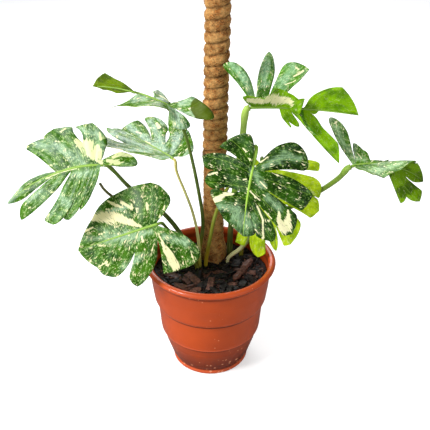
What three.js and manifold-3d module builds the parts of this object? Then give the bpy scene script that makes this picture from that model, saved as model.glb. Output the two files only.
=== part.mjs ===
// A variegated thai constellation monstera tied to a coir pole, in a ten inch nursery pot.
// Millimetres, +Z up. The origin is the middle of the pot's flat underside, and the plant is
// looked at from -Y, so its left is -X and its front is -Y.
import * as THREE from 'three';
import { mergeVertices } from 'three/addons/utils/BufferGeometryUtils.js';
import Module from 'manifold-3d';

const wasm = await Module();
wasm.setup();

// Driving dimensions of the holder.
const POT_HEIGHT = 237;
const POT_RIM_RADIUS = 130;
const POT_BASE_RADIUS = 78.5;
const POT_FLOOR = 5;
const SOIL_TOP = 205;
const PIECE_GAP = 0.4;
const CHIPS = 26;
const CHIP_REACH = 100;
const CHIP_DEPTH = 11;
const DRAIN_HOLES = 6;
const DRAIN_HOLE_RADIUS = 6;
const DRAIN_RING_RADIUS = 48;

// Driving dimensions of the pole.
const POLE_TOP = 778;
const POLE_FOOT = 24;
const POLE_CENTRE = new THREE.Vector2(4.5, 50);
const POLE_LEAN = 0.0163;
const STAKE_RADIUS = 9;
const STAKE_PROUD = 5;
const COIR_MAT_RADIUS = 20;
const COIR_FOOT_RADIUS = 27;
const COIR_FOOT_LOW = 184;
const COIR_FLARE_TOP = 265;
const COIR_FLARE_RISE = 45;
const COIR_ROPE_PITCH = 20;
const COIR_ROPE_START = 430;
const COIR_ROPE_BULGE = 3;
const COIR_ROPE_SINK = 0.5;
const POLE_CLEARANCE = 1.4;

// Driving dimensions of the leaves and stems.
const BLADE_THICKNESS = 1;
const ROW_PLACES = [0, 0.2, 0.4, 0.58, 0.74, 0.86, 0.95, 1];
const BLADE_ROWS = ROW_PLACES.length - 1;
const VEIN_STEPS = 24;
const MIDRIB_RADIUS = 2.4;
const STEM_FOOT = 165;
const NECK_GAP = 1.3;
const KNEE_BACK = 5;
const KNEE_UNDER = 1.5;

const rad = THREE.MathUtils.degToRad;
const lerp = THREE.MathUtils.lerp;
const clamp = THREE.MathUtils.clamp;

/** Small seeded random number generator, 0 to 1. */
function seededRandom(seed) {
  let state = seed;
  return () => {
    state = (state * 1664525 + 1013904223) % 4294967296;
    return state / 4294967296;
  };
}

/** Closed BufferGeometry from plain points and triangles. */
function meshGeometry(points, triangles) {
  const geometry = new THREE.BufferGeometry();
  const numbers = points.flatMap((p) => [p.x, p.y, p.z]);
  geometry.setAttribute('position', new THREE.Float32BufferAttribute(numbers, 3));
  geometry.setIndex(triangles.flat());
  geometry.computeVertexNormals();
  return geometry;
}

/** Solid for joining and cutting. */
function solidOf(geometry) {
  const bare = geometry.clone();
  bare.deleteAttribute('normal');
  bare.deleteAttribute('uv');
  const merged = mergeVertices(bare, 1e-4);
  return new wasm.Manifold(new wasm.Mesh({
    numProp: 3,
    vertProperties: new Float32Array(merged.attributes.position.array),
    triVerts: new Uint32Array(merged.index.array),
  }));
}

/** Geometry of a solid after joining and cutting. */
function geometryOf(solid) {
  const mesh = solid.getMesh();
  const geometry = new THREE.BufferGeometry();
  const positions = new THREE.Float32BufferAttribute(mesh.vertProperties, mesh.numProp);
  geometry.setAttribute('position', positions);
  geometry.setIndex(new THREE.BufferAttribute(mesh.triVerts, 1));
  geometry.computeVertexNormals();
  return geometry;
}

/** Lathe about the Z axis from a closed [radius, height] profile. */
function turned(profile, segments) {
  const points = profile.map(([r, z]) => new THREE.Vector2(r, z));
  return new THREE.LatheGeometry(points, segments).rotateX(Math.PI / 2);
}

/** Upright cylinder from height z0 to z1. */
function uprightCylinder(radius, z0, z1, x, y, segments) {
  const geometry = new THREE.CylinderGeometry(radius, radius, z1 - z0, segments);
  return geometry.rotateX(Math.PI / 2).translate(x, y, (z0 + z1) / 2);
}

/** Closed tube along a curve, its radius read from a function of the way along it. */
function taperedTube(curve, radiusAt, sides, rings) {
  const frames = curve.computeFrenetFrames(rings, false);
  const points = [];
  const triangles = [];
  for (let ring = 0; ring <= rings; ring += 1) {
    const centre = curve.getPointAt(ring / rings);
    for (let side = 0; side < sides; side += 1) {
      const turn = (2 * Math.PI * side) / sides;
      const radius = radiusAt(ring / rings);
      points.push(centre.clone()
        .addScaledVector(frames.normals[ring], radius * Math.cos(turn))
        .addScaledVector(frames.binormals[ring], radius * Math.sin(turn)));
    }
  }
  for (let ring = 0; ring < rings; ring += 1) {
    for (let side = 0; side < sides; side += 1) {
      const next = (side + 1) % sides;
      const a = ring * sides + side;
      const b = ring * sides + next;
      triangles.push([a, b, b + sides], [a, b + sides, a + sides]);
    }
  }
  const last = rings * sides;
  for (let side = 1; side < sides - 1; side += 1) {
    triangles.push([0, side + 1, side], [last, last + side, last + side + 1]);
  }
  return meshGeometry(points, triangles);
}

// The pot

const POT_OUTSIDE = [
  [0, 0], [POT_BASE_RADIUS - 2.5, 0], [POT_BASE_RADIUS, 2], [POT_BASE_RADIUS, 6.5],
  [76.5, 9], [82, 20], [87.2, 37], [93.2, 56], [97, 77],
  [101.6, 80.5], [102.8, 88], [104.4, 110], [106, 130], [107.4, 146],
  [111.6, 149.5], [113.6, 155], [118.1, 190], [119.6, 225],
  [126, 225.3], [POT_RIM_RADIUS, 231], [127, 235.6], [122.5, POT_HEIGHT], [118, 235.4],
];
const POT_INSIDE = [
  [115.4, 230], [115, 190], [110.6, 157], [104.4, 148], [102.8, 130],
  [101.2, 110], [99.6, 88], [94, 76], [90.2, 57], [84.4, 39], [79.6, 23], [74, 11],
  [71, POT_FLOOR], [0, POT_FLOOR],
];

/** Nursery pot with a rolled rim, a stepped wall and drain holes in its floor. */
function potGeometry() {
  const segments = 32;
  let pot = solidOf(turned([...POT_OUTSIDE, ...POT_INSIDE], segments));
  for (let hole = 0; hole < DRAIN_HOLES; hole += 1) {
    const turn = (2 * Math.PI * (hole + 0.5)) / DRAIN_HOLES;
    const x = DRAIN_RING_RADIUS * Math.cos(turn);
    const y = DRAIN_RING_RADIUS * Math.sin(turn);
    const cutter = uprightCylinder(DRAIN_HOLE_RADIUS, -5, POT_FLOOR + 5, x, y, 12);
    pot = pot.subtract(solidOf(cutter));
  }
  return geometryOf(pot);
}

// The pole

/** Middle of the leaning pole at a height. */
function poleCentre(z) {
  return new THREE.Vector2(POLE_CENTRE.x + POLE_LEAN * (z - SOIL_TOP), POLE_CENTRE.y);
}

/** Radius of the coir at a height and a turn about the pole. */
function coirRadius(z, turn) {
  if (z > COIR_ROPE_START) {
    const wrap = z / COIR_ROPE_PITCH - turn / (2 * Math.PI);
    const bulge = COIR_ROPE_BULGE * Math.abs(Math.sin(Math.PI * wrap));
    return COIR_MAT_RADIUS - COIR_ROPE_SINK + bulge;
  }
  if (z < COIR_FOOT_LOW) return COIR_MAT_RADIUS;
  const flare = clamp((COIR_FLARE_TOP - z) / COIR_FLARE_RISE, 0, 1);
  return lerp(COIR_MAT_RADIUS, COIR_FOOT_RADIUS, flare * flare * (3 - 2 * flare));
}

/** Closed sleeve between an outer radius function and a plain bore. */
function coirGeometry() {
  const sides = 14;
  const heights = [POLE_FOOT, COIR_FOOT_LOW - 6, COIR_FOOT_LOW, SOIL_TOP, 222, 236, 250, 268];
  heights.push(320, 375, COIR_ROPE_START);
  const rows = Math.round((POLE_TOP - COIR_ROPE_START) / (COIR_ROPE_PITCH / 3));
  for (let row = 1; row <= rows; row += 1) {
    heights.push(lerp(COIR_ROPE_START, POLE_TOP, row / rows));
  }
  const points = [];
  const triangles = [];
  const ring = (z, radiusAt) => {
    const centre = poleCentre(z);
    for (let side = 0; side < sides; side += 1) {
      const turn = (2 * Math.PI * side) / sides;
      const radius = radiusAt(z, turn);
      const x = centre.x + radius * Math.cos(turn);
      const y = centre.y + radius * Math.sin(turn);
      points.push(new THREE.Vector3(x, y, z));
    }
  };
  heights.forEach((z) => ring(z, coirRadius));
  const bore = () => STAKE_RADIUS + PIECE_GAP;
  ring(POLE_TOP, bore);
  ring(heights[0], bore);
  const rings = heights.length + 2;
  for (let r = 0; r < rings; r += 1) {
    for (let side = 0; side < sides; side += 1) {
      const next = (side + 1) % sides;
      const above = ((r + 1) % rings) * sides;
      const a = r * sides + side;
      const b = r * sides + next;
      triangles.push([a, b, above + next], [a, above + next, above + side]);
    }
  }
  return meshGeometry(points, triangles);
}

/** Stake inside the coir, from deep in the soil to just above the sleeve. */
function stakeGeometry() {
  const foot = POLE_FOOT;
  const top = POLE_TOP + STAKE_PROUD;
  const low = poleCentre(foot);
  const high = poleCentre(top);
  const curve = new THREE.LineCurve3(
    new THREE.Vector3(low.x, low.y, foot),
    new THREE.Vector3(high.x, high.y, top),
  );
  return taperedTube(curve, () => STAKE_RADIUS, 14, 1);
}

// The blades

/** One side lobe: its vein's angle to the midrib and length, and how it bends and parts. */
function lobe(angle, length, options = {}) {
  const plain = { rise: 0, droop: 0, bend: 14, split: 1, gap: [0, 0], ease: [0.86, 0.7], holes: [] };
  return { angle, length, ...plain, ...options };
}

const split = (from, own, next = own) => ({ split: from, gap: [own, next] });

const FREE_EDGE = lobe(0, 0, split(0, 0));

const LEAVES = [
  {
    name: 'leaf_front_left',
    base: [-100, -60, 348],
    pose: [182, -19, -56],
    length: 161,
    arch: 12,
    roots: [0, 0.08, 0.3, 0.5],
    tipFrom: 0.68,
    back: [0.7, 0.75],
    right: [
      lobe(126, 62, { droop: 20, bend: 10 }),
      lobe(107, 83, { droop: 15, bend: 16 }),
      lobe(72, 80, { droop: 12, bend: 8 }),
      lobe(54, 60, { droop: 8, bend: 17 }),
    ],
    left: [
      lobe(109, 101, { droop: 20, bend: 48, ...split(0.3, 0.03, 0.41), ease: [0.95, 0.53] }),
      lobe(60, 115, { droop: 15, bend: 17, ...split(0.42, 0.15, 0.29), ease: [0.82, 0.51] }),
      lobe(47, 93, { droop: 12, bend: 18 }),
      lobe(39, 68, { droop: 8, bend: 7 }),
    ],
  },
  {
    name: 'leaf_left',
    base: [-195, -30, 454],
    pose: [173, -4, -52],
    length: 194,
    arch: 7,
    sweep: -42,
    roots: [0, 0.071, 0.194, 0.353],
    tipFrom: 0.494,
    back: [0.5, 0.6],
    drop: 4,
    blunt: 0.55,
    right: [
      lobe(163, 61, { droop: 25, bend: 29, ...split(0.19, 0.63, 0.24), ease: [0.73, 0.79] }),
      lobe(88, 80, {
        droop: 5, bend: 34, ...split(0.9, 0),
        ease: [0.95, 0.95], holes: [[0.56, 0.97, 0.22]],
      }),
      lobe(60, 93, { droop: 5, bend: 38, ...split(0.95, 0, 0.1), ease: [0.92, 0.89] }),
      lobe(47, 94, { droop: 8, bend: 44, ...split(0.05, 0.84, 0.78), ease: [0.95, 0.7] }),
    ],
    left: [
      lobe(66, 88, { droop: 10, bend: 16, ...split(0.42, 0.35, 0.1), ease: [0.7, 0.9] }),
      lobe(63, 108, { droop: 10, bend: 19, ...split(0.25, 0.23, 0.26), ease: [0.9, 0.84] }),
      lobe(56, 117, { droop: 10, bend: 28, ...split(0.05, 0.48, 0.73), ease: [0.95, 0.3] }),
      lobe(32, 122, { droop: 10, bend: 8, ...split(0.07, 0.41, 0.25), ease: [0.8, 0.7] }),
    ],
  },
  {
    name: 'leaf_upper_left',
    base: [-69, -30, 564],
    pose: [162, 23, 1],
    length: 146,
    arch: 30,
    twist: 75,
    roots: [0, 0.1, 0.25, 0.5],
    tipFrom: 0.62,
    back: [1.15, 1.18],
    drop: 4,
    aside: 4.5,
    right: [
      lobe(144, 56, { rise: 58, droop: -12, bend: 56, ...split(0.05, 0.6, 0.17), ease: [0.94, 0.38] }),
      lobe(60, 49, { rise: -5, droop: -15, bend: -3, ...split(0.32, 0.15, 0.17), ease: [0.77, 0.44] }),
      lobe(41, 27, { rise: -56, droop: 10, bend: 20, ...split(0.06, 0.24, 0.33), ease: [0.71, 0.79] }),
      lobe(38, 45, { rise: 4, droop: 14, bend: 21 }),
    ],
    left: [
      lobe(138, 42, { rise: -74, droop: -1, bend: 50, ...split(0.49, 0.08, 0.15), ease: [0.95, 0.78] }),
      lobe(98, 40, { rise: 2, droop: -5, bend: 9 }),
      lobe(35, 64, { rise: -44, droop: 27, bend: 39, ...split(0.05, 0.32, 0.27), ease: [0.95, 0.72] }),
      lobe(57, 61, { rise: 2, droop: -5, bend: 1 }),
    ],
  },
  {
    name: 'leaf_middle_left',
    base: [-71, 10, 450],
    pose: [134, 5, -6],
    length: 147,
    sweep: -2,
    fold: 8,
    roots: [0, 0.08, 0.3, 0.5],
    tipFrom: 0.66,
    back: [0.61, 0.1],
    right: [
      lobe(98, 50, { rise: 4, droop: -14, bend: 24, ...split(0.17, 0.09, 0.13), ease: [0.94, 0.68] }),
      lobe(62, 107, {
        rise: 1, droop: -3, bend: 6,
        ...split(0.72, 0.15, 0.08), ease: [0.87, 0.54], holes: [[0.28, 0.6, 0.2]],
      }),
      lobe(34, 102, { rise: 5, droop: -3, bend: 49, ...split(0.18, 0, 0.27), ease: [0.89, 0.41] }),
      lobe(28, 77, { rise: -5, droop: -9, bend: 7 }),
    ],
    left: [
      lobe(75, 24, { rise: -2, bend: 0 }),
      lobe(45, 121, { rise: 2, droop: -5, bend: 11, ...split(0.08, 0, 0.26), ease: [0.95, 0.38] }),
      lobe(16, 116, { rise: -2, droop: -9, ...split(0.13, 0.11, 0.1), ease: [0.77, 0.89] }),
      lobe(11, 85, { rise: 5, bend: 1 }),
    ],
  },
  {
    name: 'leaf_upper_right',
    base: [74, 10, 548],
    pose: [-3, 2, 0],
    length: 186,
    arch: 8,
    sweep: 9,
    twist: -45,
    fold: 36,
    roots: [0, 0.08, 0.16, 0.28, 0.38, 0.55],
    tipFrom: 0.66,
    back: [0.26, 0.1],
    right: [
      lobe(105, 54, { rise: 2, droop: -4, bend: 10 }),
      lobe(80, 40, { rise: 1, droop: 4, bend: 3 }),
      lobe(75, 47, { rise: 17, droop: -8, bend: 17 }),
      lobe(52, 44, { rise: -8, droop: -5, bend: -4, ...split(0.7, 0.18, 0.7), ease: [0.95, 0.5] }),
      lobe(52, 61, { rise: -99, droop: -2, bend: 21, ...split(0.05, 0.57, 0.16), ease: [0.95, 0.7] }),
      lobe(50, 77, { rise: 15, droop: 17, bend: 50 }),
    ],
    left: [
      lobe(123, 92, { rise: 51, droop: -5, bend: -25, ...split(0.13, 0.43, 0.62), ease: [0.4, 0.54] }),
      lobe(84, 145, { rise: -8, droop: -2, bend: 0, ...split(0.09, 0.51, 0), ease: [0.55, 0.64] }),
      lobe(47, 104, { rise: 12, droop: -3, bend: 23, ...split(0.05, 0.05, 0.2), ease: [0.95, 0.65] }),
      lobe(63, 27, { rise: -124, droop: -5, bend: 25, ...split(0.14, 0.34, 0.48), ease: [0.45, 0.66] }),
      lobe(46, 130, { rise: -124, bend: -16, ...split(0.26, 0, 0.05), ease: [0.92, 0.7] }),
      lobe(27, 63, { rise: -4, droop: -5, bend: 18 }),
    ],
  },
  {
    name: 'leaf_right',
    base: [258, -20, 448],
    pose: [8, 9, 16],
    length: 153,
    arch: 50,
    sweep: 14,
    twist: -75,
    fold: 18,
    roots: [0, 0.08, 0.3, 0.45, 0.52],
    tipFrom: 0.62,
    back: [0.1, 1.3],
    right: [
      lobe(92, 42, { rise: 15, droop: 2, bend: 9 }),
      lobe(70, 64, { rise: -12, droop: -5, bend: 21 }),
      lobe(63, 77, { rise: 13, droop: 13, bend: 12 }),
      lobe(55, 48, { rise: 3, droop: 4, bend: 15 }),
      lobe(54, 43, { rise: 4, droop: 2, bend: 19 }),
    ],
    left: [
      lobe(85, 108, { rise: 2, droop: 23, bend: 19, ...split(0.05, 0.4, 0.11), ease: [0.85, 0.84] }),
      lobe(64, 42, { rise: -13, droop: 2, bend: 0, ...split(0.41, 0.72, 0.29), ease: [0.73, 0.58] }),
      lobe(45, 39, { rise: -24, droop: 3, bend: 12, ...split(0.13, 0.19, 0.72), ease: [0.9, 0.89] }),
      lobe(57, 79, { rise: -102, droop: 8, bend: -4, ...split(0.83, 0.41, 0.12), ease: [0.84, 0.84] }),
      lobe(39, 85, { rise: -113, droop: 5, bend: 36, ...split(0.34, 0.29, 0.16), ease: [0.94, 0.77] }),
    ],
  },
  {
    name: 'leaf_front_centre',
    base: [72, -80, 470],
    pose: [243, -63, -25],
    length: 117,
    sweep: -8,
    roots: [0, 0.08, 0.28, 0.45],
    tipFrom: 0.62,
    back: [1.35, 1.1],
    bulge: 0.2,
    drop: 3,
    blunt: 0.78,
    right: [
      lobe(130, 66, { droop: 10, bend: 40, ...split(0.3, 0.11, 0.35), ease: [0.94, 0.6] }),
      lobe(99, 91, { droop: 10, bend: 29, ...split(0.89, 0.12, 0.21), ease: [0.95, 0.74] }),
      lobe(88, 76, {
        droop: 10, bend: 6, ...split(0.9, 0.05, 0.1),
        ease: [0.8, 0.9], holes: [[0.24, 0.72, 0.42]],
      }),
      lobe(86, 62, { droop: 10, bend: 28 }),
    ],
    left: [
      lobe(108, 101, { droop: 10, bend: 50, ...split(0.2, 0.44, 0.35), ease: [0.87, 0.45] }),
      lobe(82, 114, { droop: 10, bend: -1, ...split(0.3, 0.18, 0.22), ease: [0.94, 0.88] }),
      lobe(53, 112, { droop: 10, bend: 16, ...split(0.19, 0.26, 0.13), ease: [0.95, 0.64] }),
      lobe(39, 87, { droop: 10, bend: 7, ...split(0.37, 0.03, 0.02), ease: [0.9, 0.7] }),
    ],
  },
  {
    name: 'leaf_behind_centre',
    base: [98, 40, 421],
    pose: [309, -74, -146],
    length: 178,
    sweep: 1,
    roots: [0, 0.08, 0.28, 0.45],
    tipFrom: 0.62,
    back: [0.31, 0.22],
    right: [
      lobe(80, 112, { bend: 15, ...split(0.14, 0.37, 0.27), ease: [0.95, 0.83] }),
      lobe(64, 120, { bend: 5, ...split(0.39, 0, 0.13), ease: [0.95, 0.93] }),
      lobe(57, 119, { bend: 50, ...split(0.27, 0.49, 0), ease: [0.95, 0.84] }),
      lobe(19, 95, { bend: 8, ...split(0.4, 0.13, 0.22), ease: [0.95, 0.61] }),
    ],
    left: [
      lobe(135, 70, { bend: 15, ...split(0.13, 0.14, 0.48), ease: [0.85, 0.6] }),
      lobe(59, 30, { bend: 11, ...split(0.36, 0.2, 0.25), ease: [0.75, 0.77] }),
      lobe(39, 120, { bend: 19, ...split(0.41, 0.21, 0), ease: [0.95, 0.69] }),
      lobe(20, 111, { bend: 27, ...split(0.36, 0.13, 0.33), ease: [0.95, 0.62] }),
    ],
  },
];

/** The curved surface of one monstera blade, laid out from its midrib and side veins. */
class Blade {
  constructor(spec) {
    const plain = { arch: 0, sweep: 0, twist: 0, fold: 0, bulge: 0.07, drop: 1.4, aside: 0, blunt: 0.3 };
    this.spec = { ...plain, ...spec };
    this.base = new THREE.Vector3(...spec.base);
    const [azimuth, pitch, roll] = spec.pose.map(rad);
    this.forward = new THREE.Vector3(
      Math.cos(pitch) * Math.cos(azimuth),
      Math.cos(pitch) * Math.sin(azimuth),
      Math.sin(pitch),
    );
    const level = new THREE.Vector3(Math.sin(azimuth), -Math.cos(azimuth), 0);
    const upward = new THREE.Vector3().crossVectors(level, this.forward);
    this.sideways = level.multiplyScalar(Math.cos(roll)).addScaledVector(upward, -Math.sin(roll));
    this.normal = new THREE.Vector3().crossVectors(this.sideways, this.forward);
    this.midrib = this.traceMidrib();
  }

  /** Tangent, side and normal of the midrib at the fraction u of its length. */
  axesAt(u) {
    const { arch, sweep, twist } = this.spec;
    const [a, s, t] = [arch, sweep, twist].map((turn) => rad(turn * u));
    const ahead = this.forward.clone().multiplyScalar(Math.cos(s));
    ahead.addScaledVector(this.sideways, Math.sin(s));
    const side = this.sideways.clone().multiplyScalar(Math.cos(s));
    side.addScaledVector(this.forward, -Math.sin(s));
    const tangent = ahead.multiplyScalar(Math.cos(a)).addScaledVector(this.normal, -Math.sin(a));
    const normal = new THREE.Vector3().crossVectors(side, tangent);
    const turnedSide = side.clone().multiplyScalar(Math.cos(t));
    turnedSide.addScaledVector(normal, -Math.sin(t));
    const turnedNormal = normal.multiplyScalar(Math.cos(t)).addScaledVector(side, Math.sin(t));
    return { tangent, side: turnedSide, normal: turnedNormal };
  }

  /** Points along the midrib from the stem to the tip. */
  traceMidrib() {
    const points = [this.base.clone()];
    for (let step = 0; step < VEIN_STEPS; step += 1) {
      const { tangent } = this.axesAt((step + 0.5) / VEIN_STEPS);
      const stride = this.spec.length / VEIN_STEPS;
      points.push(points[step].clone().addScaledVector(tangent, stride));
    }
    return points;
  }

  /** Midrib point at the fraction u. */
  midribAt(u) {
    const place = clamp(u, 0, 1) * VEIN_STEPS;
    const step = Math.min(Math.floor(place), VEIN_STEPS - 1);
    return this.midrib[step].clone().lerp(this.midrib[step + 1], place - step);
  }

  /** One side vein: its points, its flat plan and its axes at each row. */
  vein(side, root, spec) {
    const { tangent, side: across, normal } = this.axesAt(root);
    const lift = rad(this.spec.fold + spec.rise);
    const lateral = across.clone().multiplyScalar(side * Math.cos(lift));
    lateral.addScaledVector(normal, Math.sin(lift));
    const face = across.clone().multiplyScalar(-side * Math.sin(lift));
    face.addScaledVector(normal, Math.cos(lift));
    const axesOf = (t) => {
      const angle = rad(spec.angle + spec.bend * (0.5 - t));
      const fall = rad(spec.droop * t);
      const level = tangent.clone().multiplyScalar(Math.cos(angle));
      level.addScaledVector(lateral, Math.sin(angle));
      const along = level.multiplyScalar(Math.cos(fall)).addScaledVector(face, -Math.sin(fall));
      const beside = tangent.clone().multiplyScalar(-Math.sin(angle));
      beside.addScaledVector(lateral, Math.cos(angle));
      return { angle, along, beside };
    };
    const rows = [];
    const point = this.midribAt(root);
    const plan = new THREE.Vector2(root * this.spec.length, 0);
    ROW_PLACES.forEach((place, row) => {
      rows.push({ point: point.clone(), plan: plan.clone(), ...axesOf(place) });
      const reach = row < BLADE_ROWS ? ROW_PLACES[row + 1] - place : 0;
      for (let part = 0; part < 4; part += 1) {
        const { angle, along } = axesOf(place + (reach * (part + 0.5)) / 4);
        const stride = (reach * spec.length) / 4;
        point.addScaledVector(along, stride);
        plan.add(new THREE.Vector2(Math.cos(angle), Math.sin(angle)).multiplyScalar(stride));
      }
    });
    return rows;
  }

  /** The midrib's own end, treated as the vein of the last lobe. */
  endVein() {
    return ROW_PLACES.map((place) => {
      const u = lerp(this.spec.tipFrom, 1, place);
      return { point: this.midribAt(u), plan: new THREE.Vector2(u * this.spec.length, 0) };
    });
  }

  /** Share of the way from a vein to the valley that a lobe fills at t. */
  fill(t, parting, gap, roundFrom, isEnd) {
    let share = 1;
    if (parting.split < 1 && t > parting.split) {
      share = 1 - gap * ((t - parting.split) / (1 - parting.split)) ** 0.7;
      if (t > roundFrom) {
        const y = (t - roundFrom) / (1 - roundFrom);
        share *= isEnd ? (1 - y ** 2.2) ** 0.8 : Math.sqrt(1 - y * y);
      }
    }
    parting.holes.forEach(([from, to, width]) => {
      if (t > from && t < to) {
        share *= 1 - width * Math.sin((Math.PI * (t - from)) / (to - from)) ** 0.6;
      }
    });
    return share;
  }

  /** Strips of paired edge points, one strip for each side of each vein. */
  strips() {
    const { roots, back, bulge } = this.spec;
    const strips = [];
    [[1, this.spec.right, back[0]], [-1, this.spec.left, back[1]]].forEach(([side, lobes, wrap]) => {
      const veins = lobes.map((spec, i) => this.vein(side, roots[i], spec));
      veins.push(this.endVein());
      const valleys = lobes.map((spec, i) => veins[i].map((row, r) => {
        const point = row.point.clone().lerp(veins[i + 1][r].point, 0.5);
        const plan = row.plan.clone().lerp(veins[i + 1][r].plan, 0.5);
        return { point, plan };
      }));
      valleys.forEach((valley, i) => {
        if (lobes[i].split < 1) return;
        const reach = valley[BLADE_ROWS].point.clone().sub(valley[0].point);
        const planReach = valley[BLADE_ROWS].plan.clone().sub(valley[0].plan);
        valley.forEach((row, r) => {
          const push = bulge * ROW_PLACES[r] ** 3;
          row.point.addScaledVector(reach, push);
          row.plan.addScaledVector(planReach, push);
        });
      });
      veins.forEach((vein, i) => {
        [-1, 1].forEach((which) => {
          if (which > 0 && i === lobes.length) return;
          const isFree = i === 0 && which < 0;
          const isEnd = i === lobes.length;
          const j = which > 0 ? i : i - 1;
          const parting = isFree ? FREE_EDGE : lobes[j];
          const gap = parting.gap[which > 0 ? 0 : 1];
          const roundFrom = isEnd ? this.spec.blunt : parting.ease[which > 0 ? 0 : 1];
          const edge = vein.map((row, r) => {
            const t = ROW_PLACES[r];
            let plan = isFree ? null : valleys[j][r].plan;
            if (isFree) {
              const spread = wrap * Math.sin((clamp(t / 0.5, 0, 1) * Math.PI) / 2);
              plan = row.plan.clone().lerp(valleys[0][r].plan, -spread);
            }
            let target = isFree ? null : valleys[j][r].point.clone();
            if (!isEnd) {
              const offset = plan.clone().sub(row.plan);
              const ahead = offset.x * Math.cos(row.angle) + offset.y * Math.sin(row.angle);
              const beside = offset.y * Math.cos(row.angle) - offset.x * Math.sin(row.angle);
              const own = row.point.clone().addScaledVector(row.along, ahead);
              own.addScaledVector(row.beside, beside);
              const part = isFree ? 1 : THREE.MathUtils.smoothstep(t, parting.split, parting.split + 0.3);
              const isWhole = !isFree && parting.split >= 1;
              target = isFree ? own : target.lerp(own, isWhole ? 0 : part);
            }
            const share = this.fill(t, parting, gap, roundFrom, isEnd);
            return row.point.clone().lerp(target, share);
          });
          const isFlipped = (which > 0) !== (side > 0);
          strips.push({ inner: vein.map((row) => row.point), edge, isFlipped });
        });
      });
    });
    return strips;
  }

  /** Thin closed solid of the whole blade. */
  bladeGeometry() {
    const points = [];
    const index = new Map();
    const idOf = (point) => {
      const key = point.toArray().map((value) => Math.round(value * 50)).join(' ');
      if (!index.has(key)) {
        index.set(key, points.length);
        points.push(point);
      }
      return index.get(key);
    };
    const faces = [];
    this.strips().forEach(({ inner, edge, isFlipped }) => {
      for (let row = 0; row < BLADE_ROWS; row += 1) {
        const quad = [inner[row], inner[row + 1], edge[row + 1], edge[row]].map(idOf);
        if (isFlipped) quad.reverse();
        [[0, 1, 2], [0, 2, 3]].forEach((corners) => {
          const face = corners.map((corner) => quad[corner]);
          if (new Set(face).size === 3) faces.push(face);
        });
      }
    });
    return thickened(points, faces, BLADE_THICKNESS);
  }

  /** Where the blade's midrib starts, just behind the notch of the blade. */
  neck() {
    const { tangent, side, normal } = this.axesAt(0);
    const point = this.base.clone().addScaledVector(tangent, -4);
    return point.addScaledVector(normal, -this.spec.drop).addScaledVector(side, this.spec.aside);
  }

  /** Raised midrib under the blade. */
  midribGeometry() {
    const path = [this.neck()];
    [0.06, 0.25, 0.5, 0.86].forEach((u) => {
      const { normal } = this.axesAt(u);
      path.push(this.midribAt(u).addScaledVector(normal, lerp(-1.2, -0.2, u)));
    });
    const curve = new THREE.CatmullRomCurve3(path);
    return taperedTube(curve, (t) => lerp(MIDRIB_RADIUS, 0.6, t), 5, 8);
  }

  /** Blade and midrib as one body. */
  geometry() {
    return geometryOf(solidOf(this.bladeGeometry()).add(solidOf(this.midribGeometry())));
  }
}

/** Gives an open surface an even thickness and closes its edges. */
function thickened(points, faces, thickness) {
  const normals = points.map(() => new THREE.Vector3());
  const edges = new Map();
  faces.forEach(([a, b, c]) => {
    const ab = points[b].clone().sub(points[a]);
    const ac = points[c].clone().sub(points[a]);
    const normal = ab.cross(ac);
    [a, b, c].forEach((id) => normals[id].add(normal));
    [[a, b], [b, c], [c, a]].forEach(([from, to]) => {
      const reverse = `${to} ${from}`;
      if (edges.has(reverse)) edges.delete(reverse);
      else edges.set(`${from} ${to}`, [from, to]);
    });
  });
  const solid = [];
  [1, -1].forEach((way) => points.forEach((point, id) => {
    const offset = normals[id].clone().normalize().multiplyScalar((way * thickness) / 2);
    solid.push(point.clone().add(offset));
  }));
  const under = points.length;
  const triangles = faces.flatMap(([a, b, c]) => [[a, b, c], [a + under, c + under, b + under]]);
  edges.forEach(([from, to]) => {
    triangles.push([from, from + under, to + under], [from, to + under, to]);
  });
  return meshGeometry(solid, triangles);
}

// The stems

// Each leaf stem stands in the soil at its foot, passes the points of its way, and ends at the
// neck of its blade. The radii are at the foot, half way and at the blade.
const STEMS = [
  {
    name: 'petiole_front_left',
    leaf: 'leaf_front_left',
    foot: [-28, 6],
    way: [[-50, -4, 262], [-80, -30, 320]],
    radii: [4.6, 3.2, 2.6],
  },
  {
    name: 'petiole_left',
    leaf: 'leaf_left',
    foot: [-38, 20],
    way: [[-58, 26, 272], [-93, 30, 322], [-150, 16, 382]],
    radii: [5.4, 4.4, 3.2],
  },
  {
    name: 'petiole_upper_left',
    leaf: 'leaf_upper_left',
    foot: [-26, 33],
    way: [[-15, 28, 291], [-22, 2, 383], [-44, -20, 507]],
    radii: [4.4, 3.4, 2.6],
  },
  {
    name: 'petiole_middle_left',
    leaf: 'leaf_middle_left',
    foot: [-22, 18],
    way: [[-25, 20, 277], [-36, 17, 336], [-48, 13, 376], [-63, 5, 426]],
    radii: [3.8, 2.8, 2.4],
  },
  {
    name: 'petiole_upper_right',
    leaf: 'leaf_upper_right',
    foot: [40, 46],
    way: [[40, 42, 262], [47, 31, 370], [58, 17, 480]],
    radii: [5, 6.2, 5.6],
  },
  {
    name: 'petiole_right',
    leaf: 'leaf_right',
    foot: [36, 32],
    way: [[61, 28, 240], [88, 29, 275], [120, 33, 307], [172, 44, 336], [218, 44, 366], [242, 12, 408]],
    radii: [3.6, 4.8, 5.2],
  },
  {
    name: 'petiole_front_centre',
    leaf: 'leaf_front_centre',
    foot: [-9, 18],
    way: [[-1, -2, 279], [11, -14, 347], [39, -30, 424], [70, -38, 486], [79, -54, 500]],
    radii: [3.4, 3.6, 2.8],
  },
  {
    name: 'petiole_behind_centre',
    leaf: 'leaf_behind_centre',
    foot: [64, 56],
    way: [[73, 61, 262], [88, 66, 335], [98, 64, 400], [99, 56, 428]],
    radii: [4.4, 3.6, 2.6],
  },
];

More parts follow.
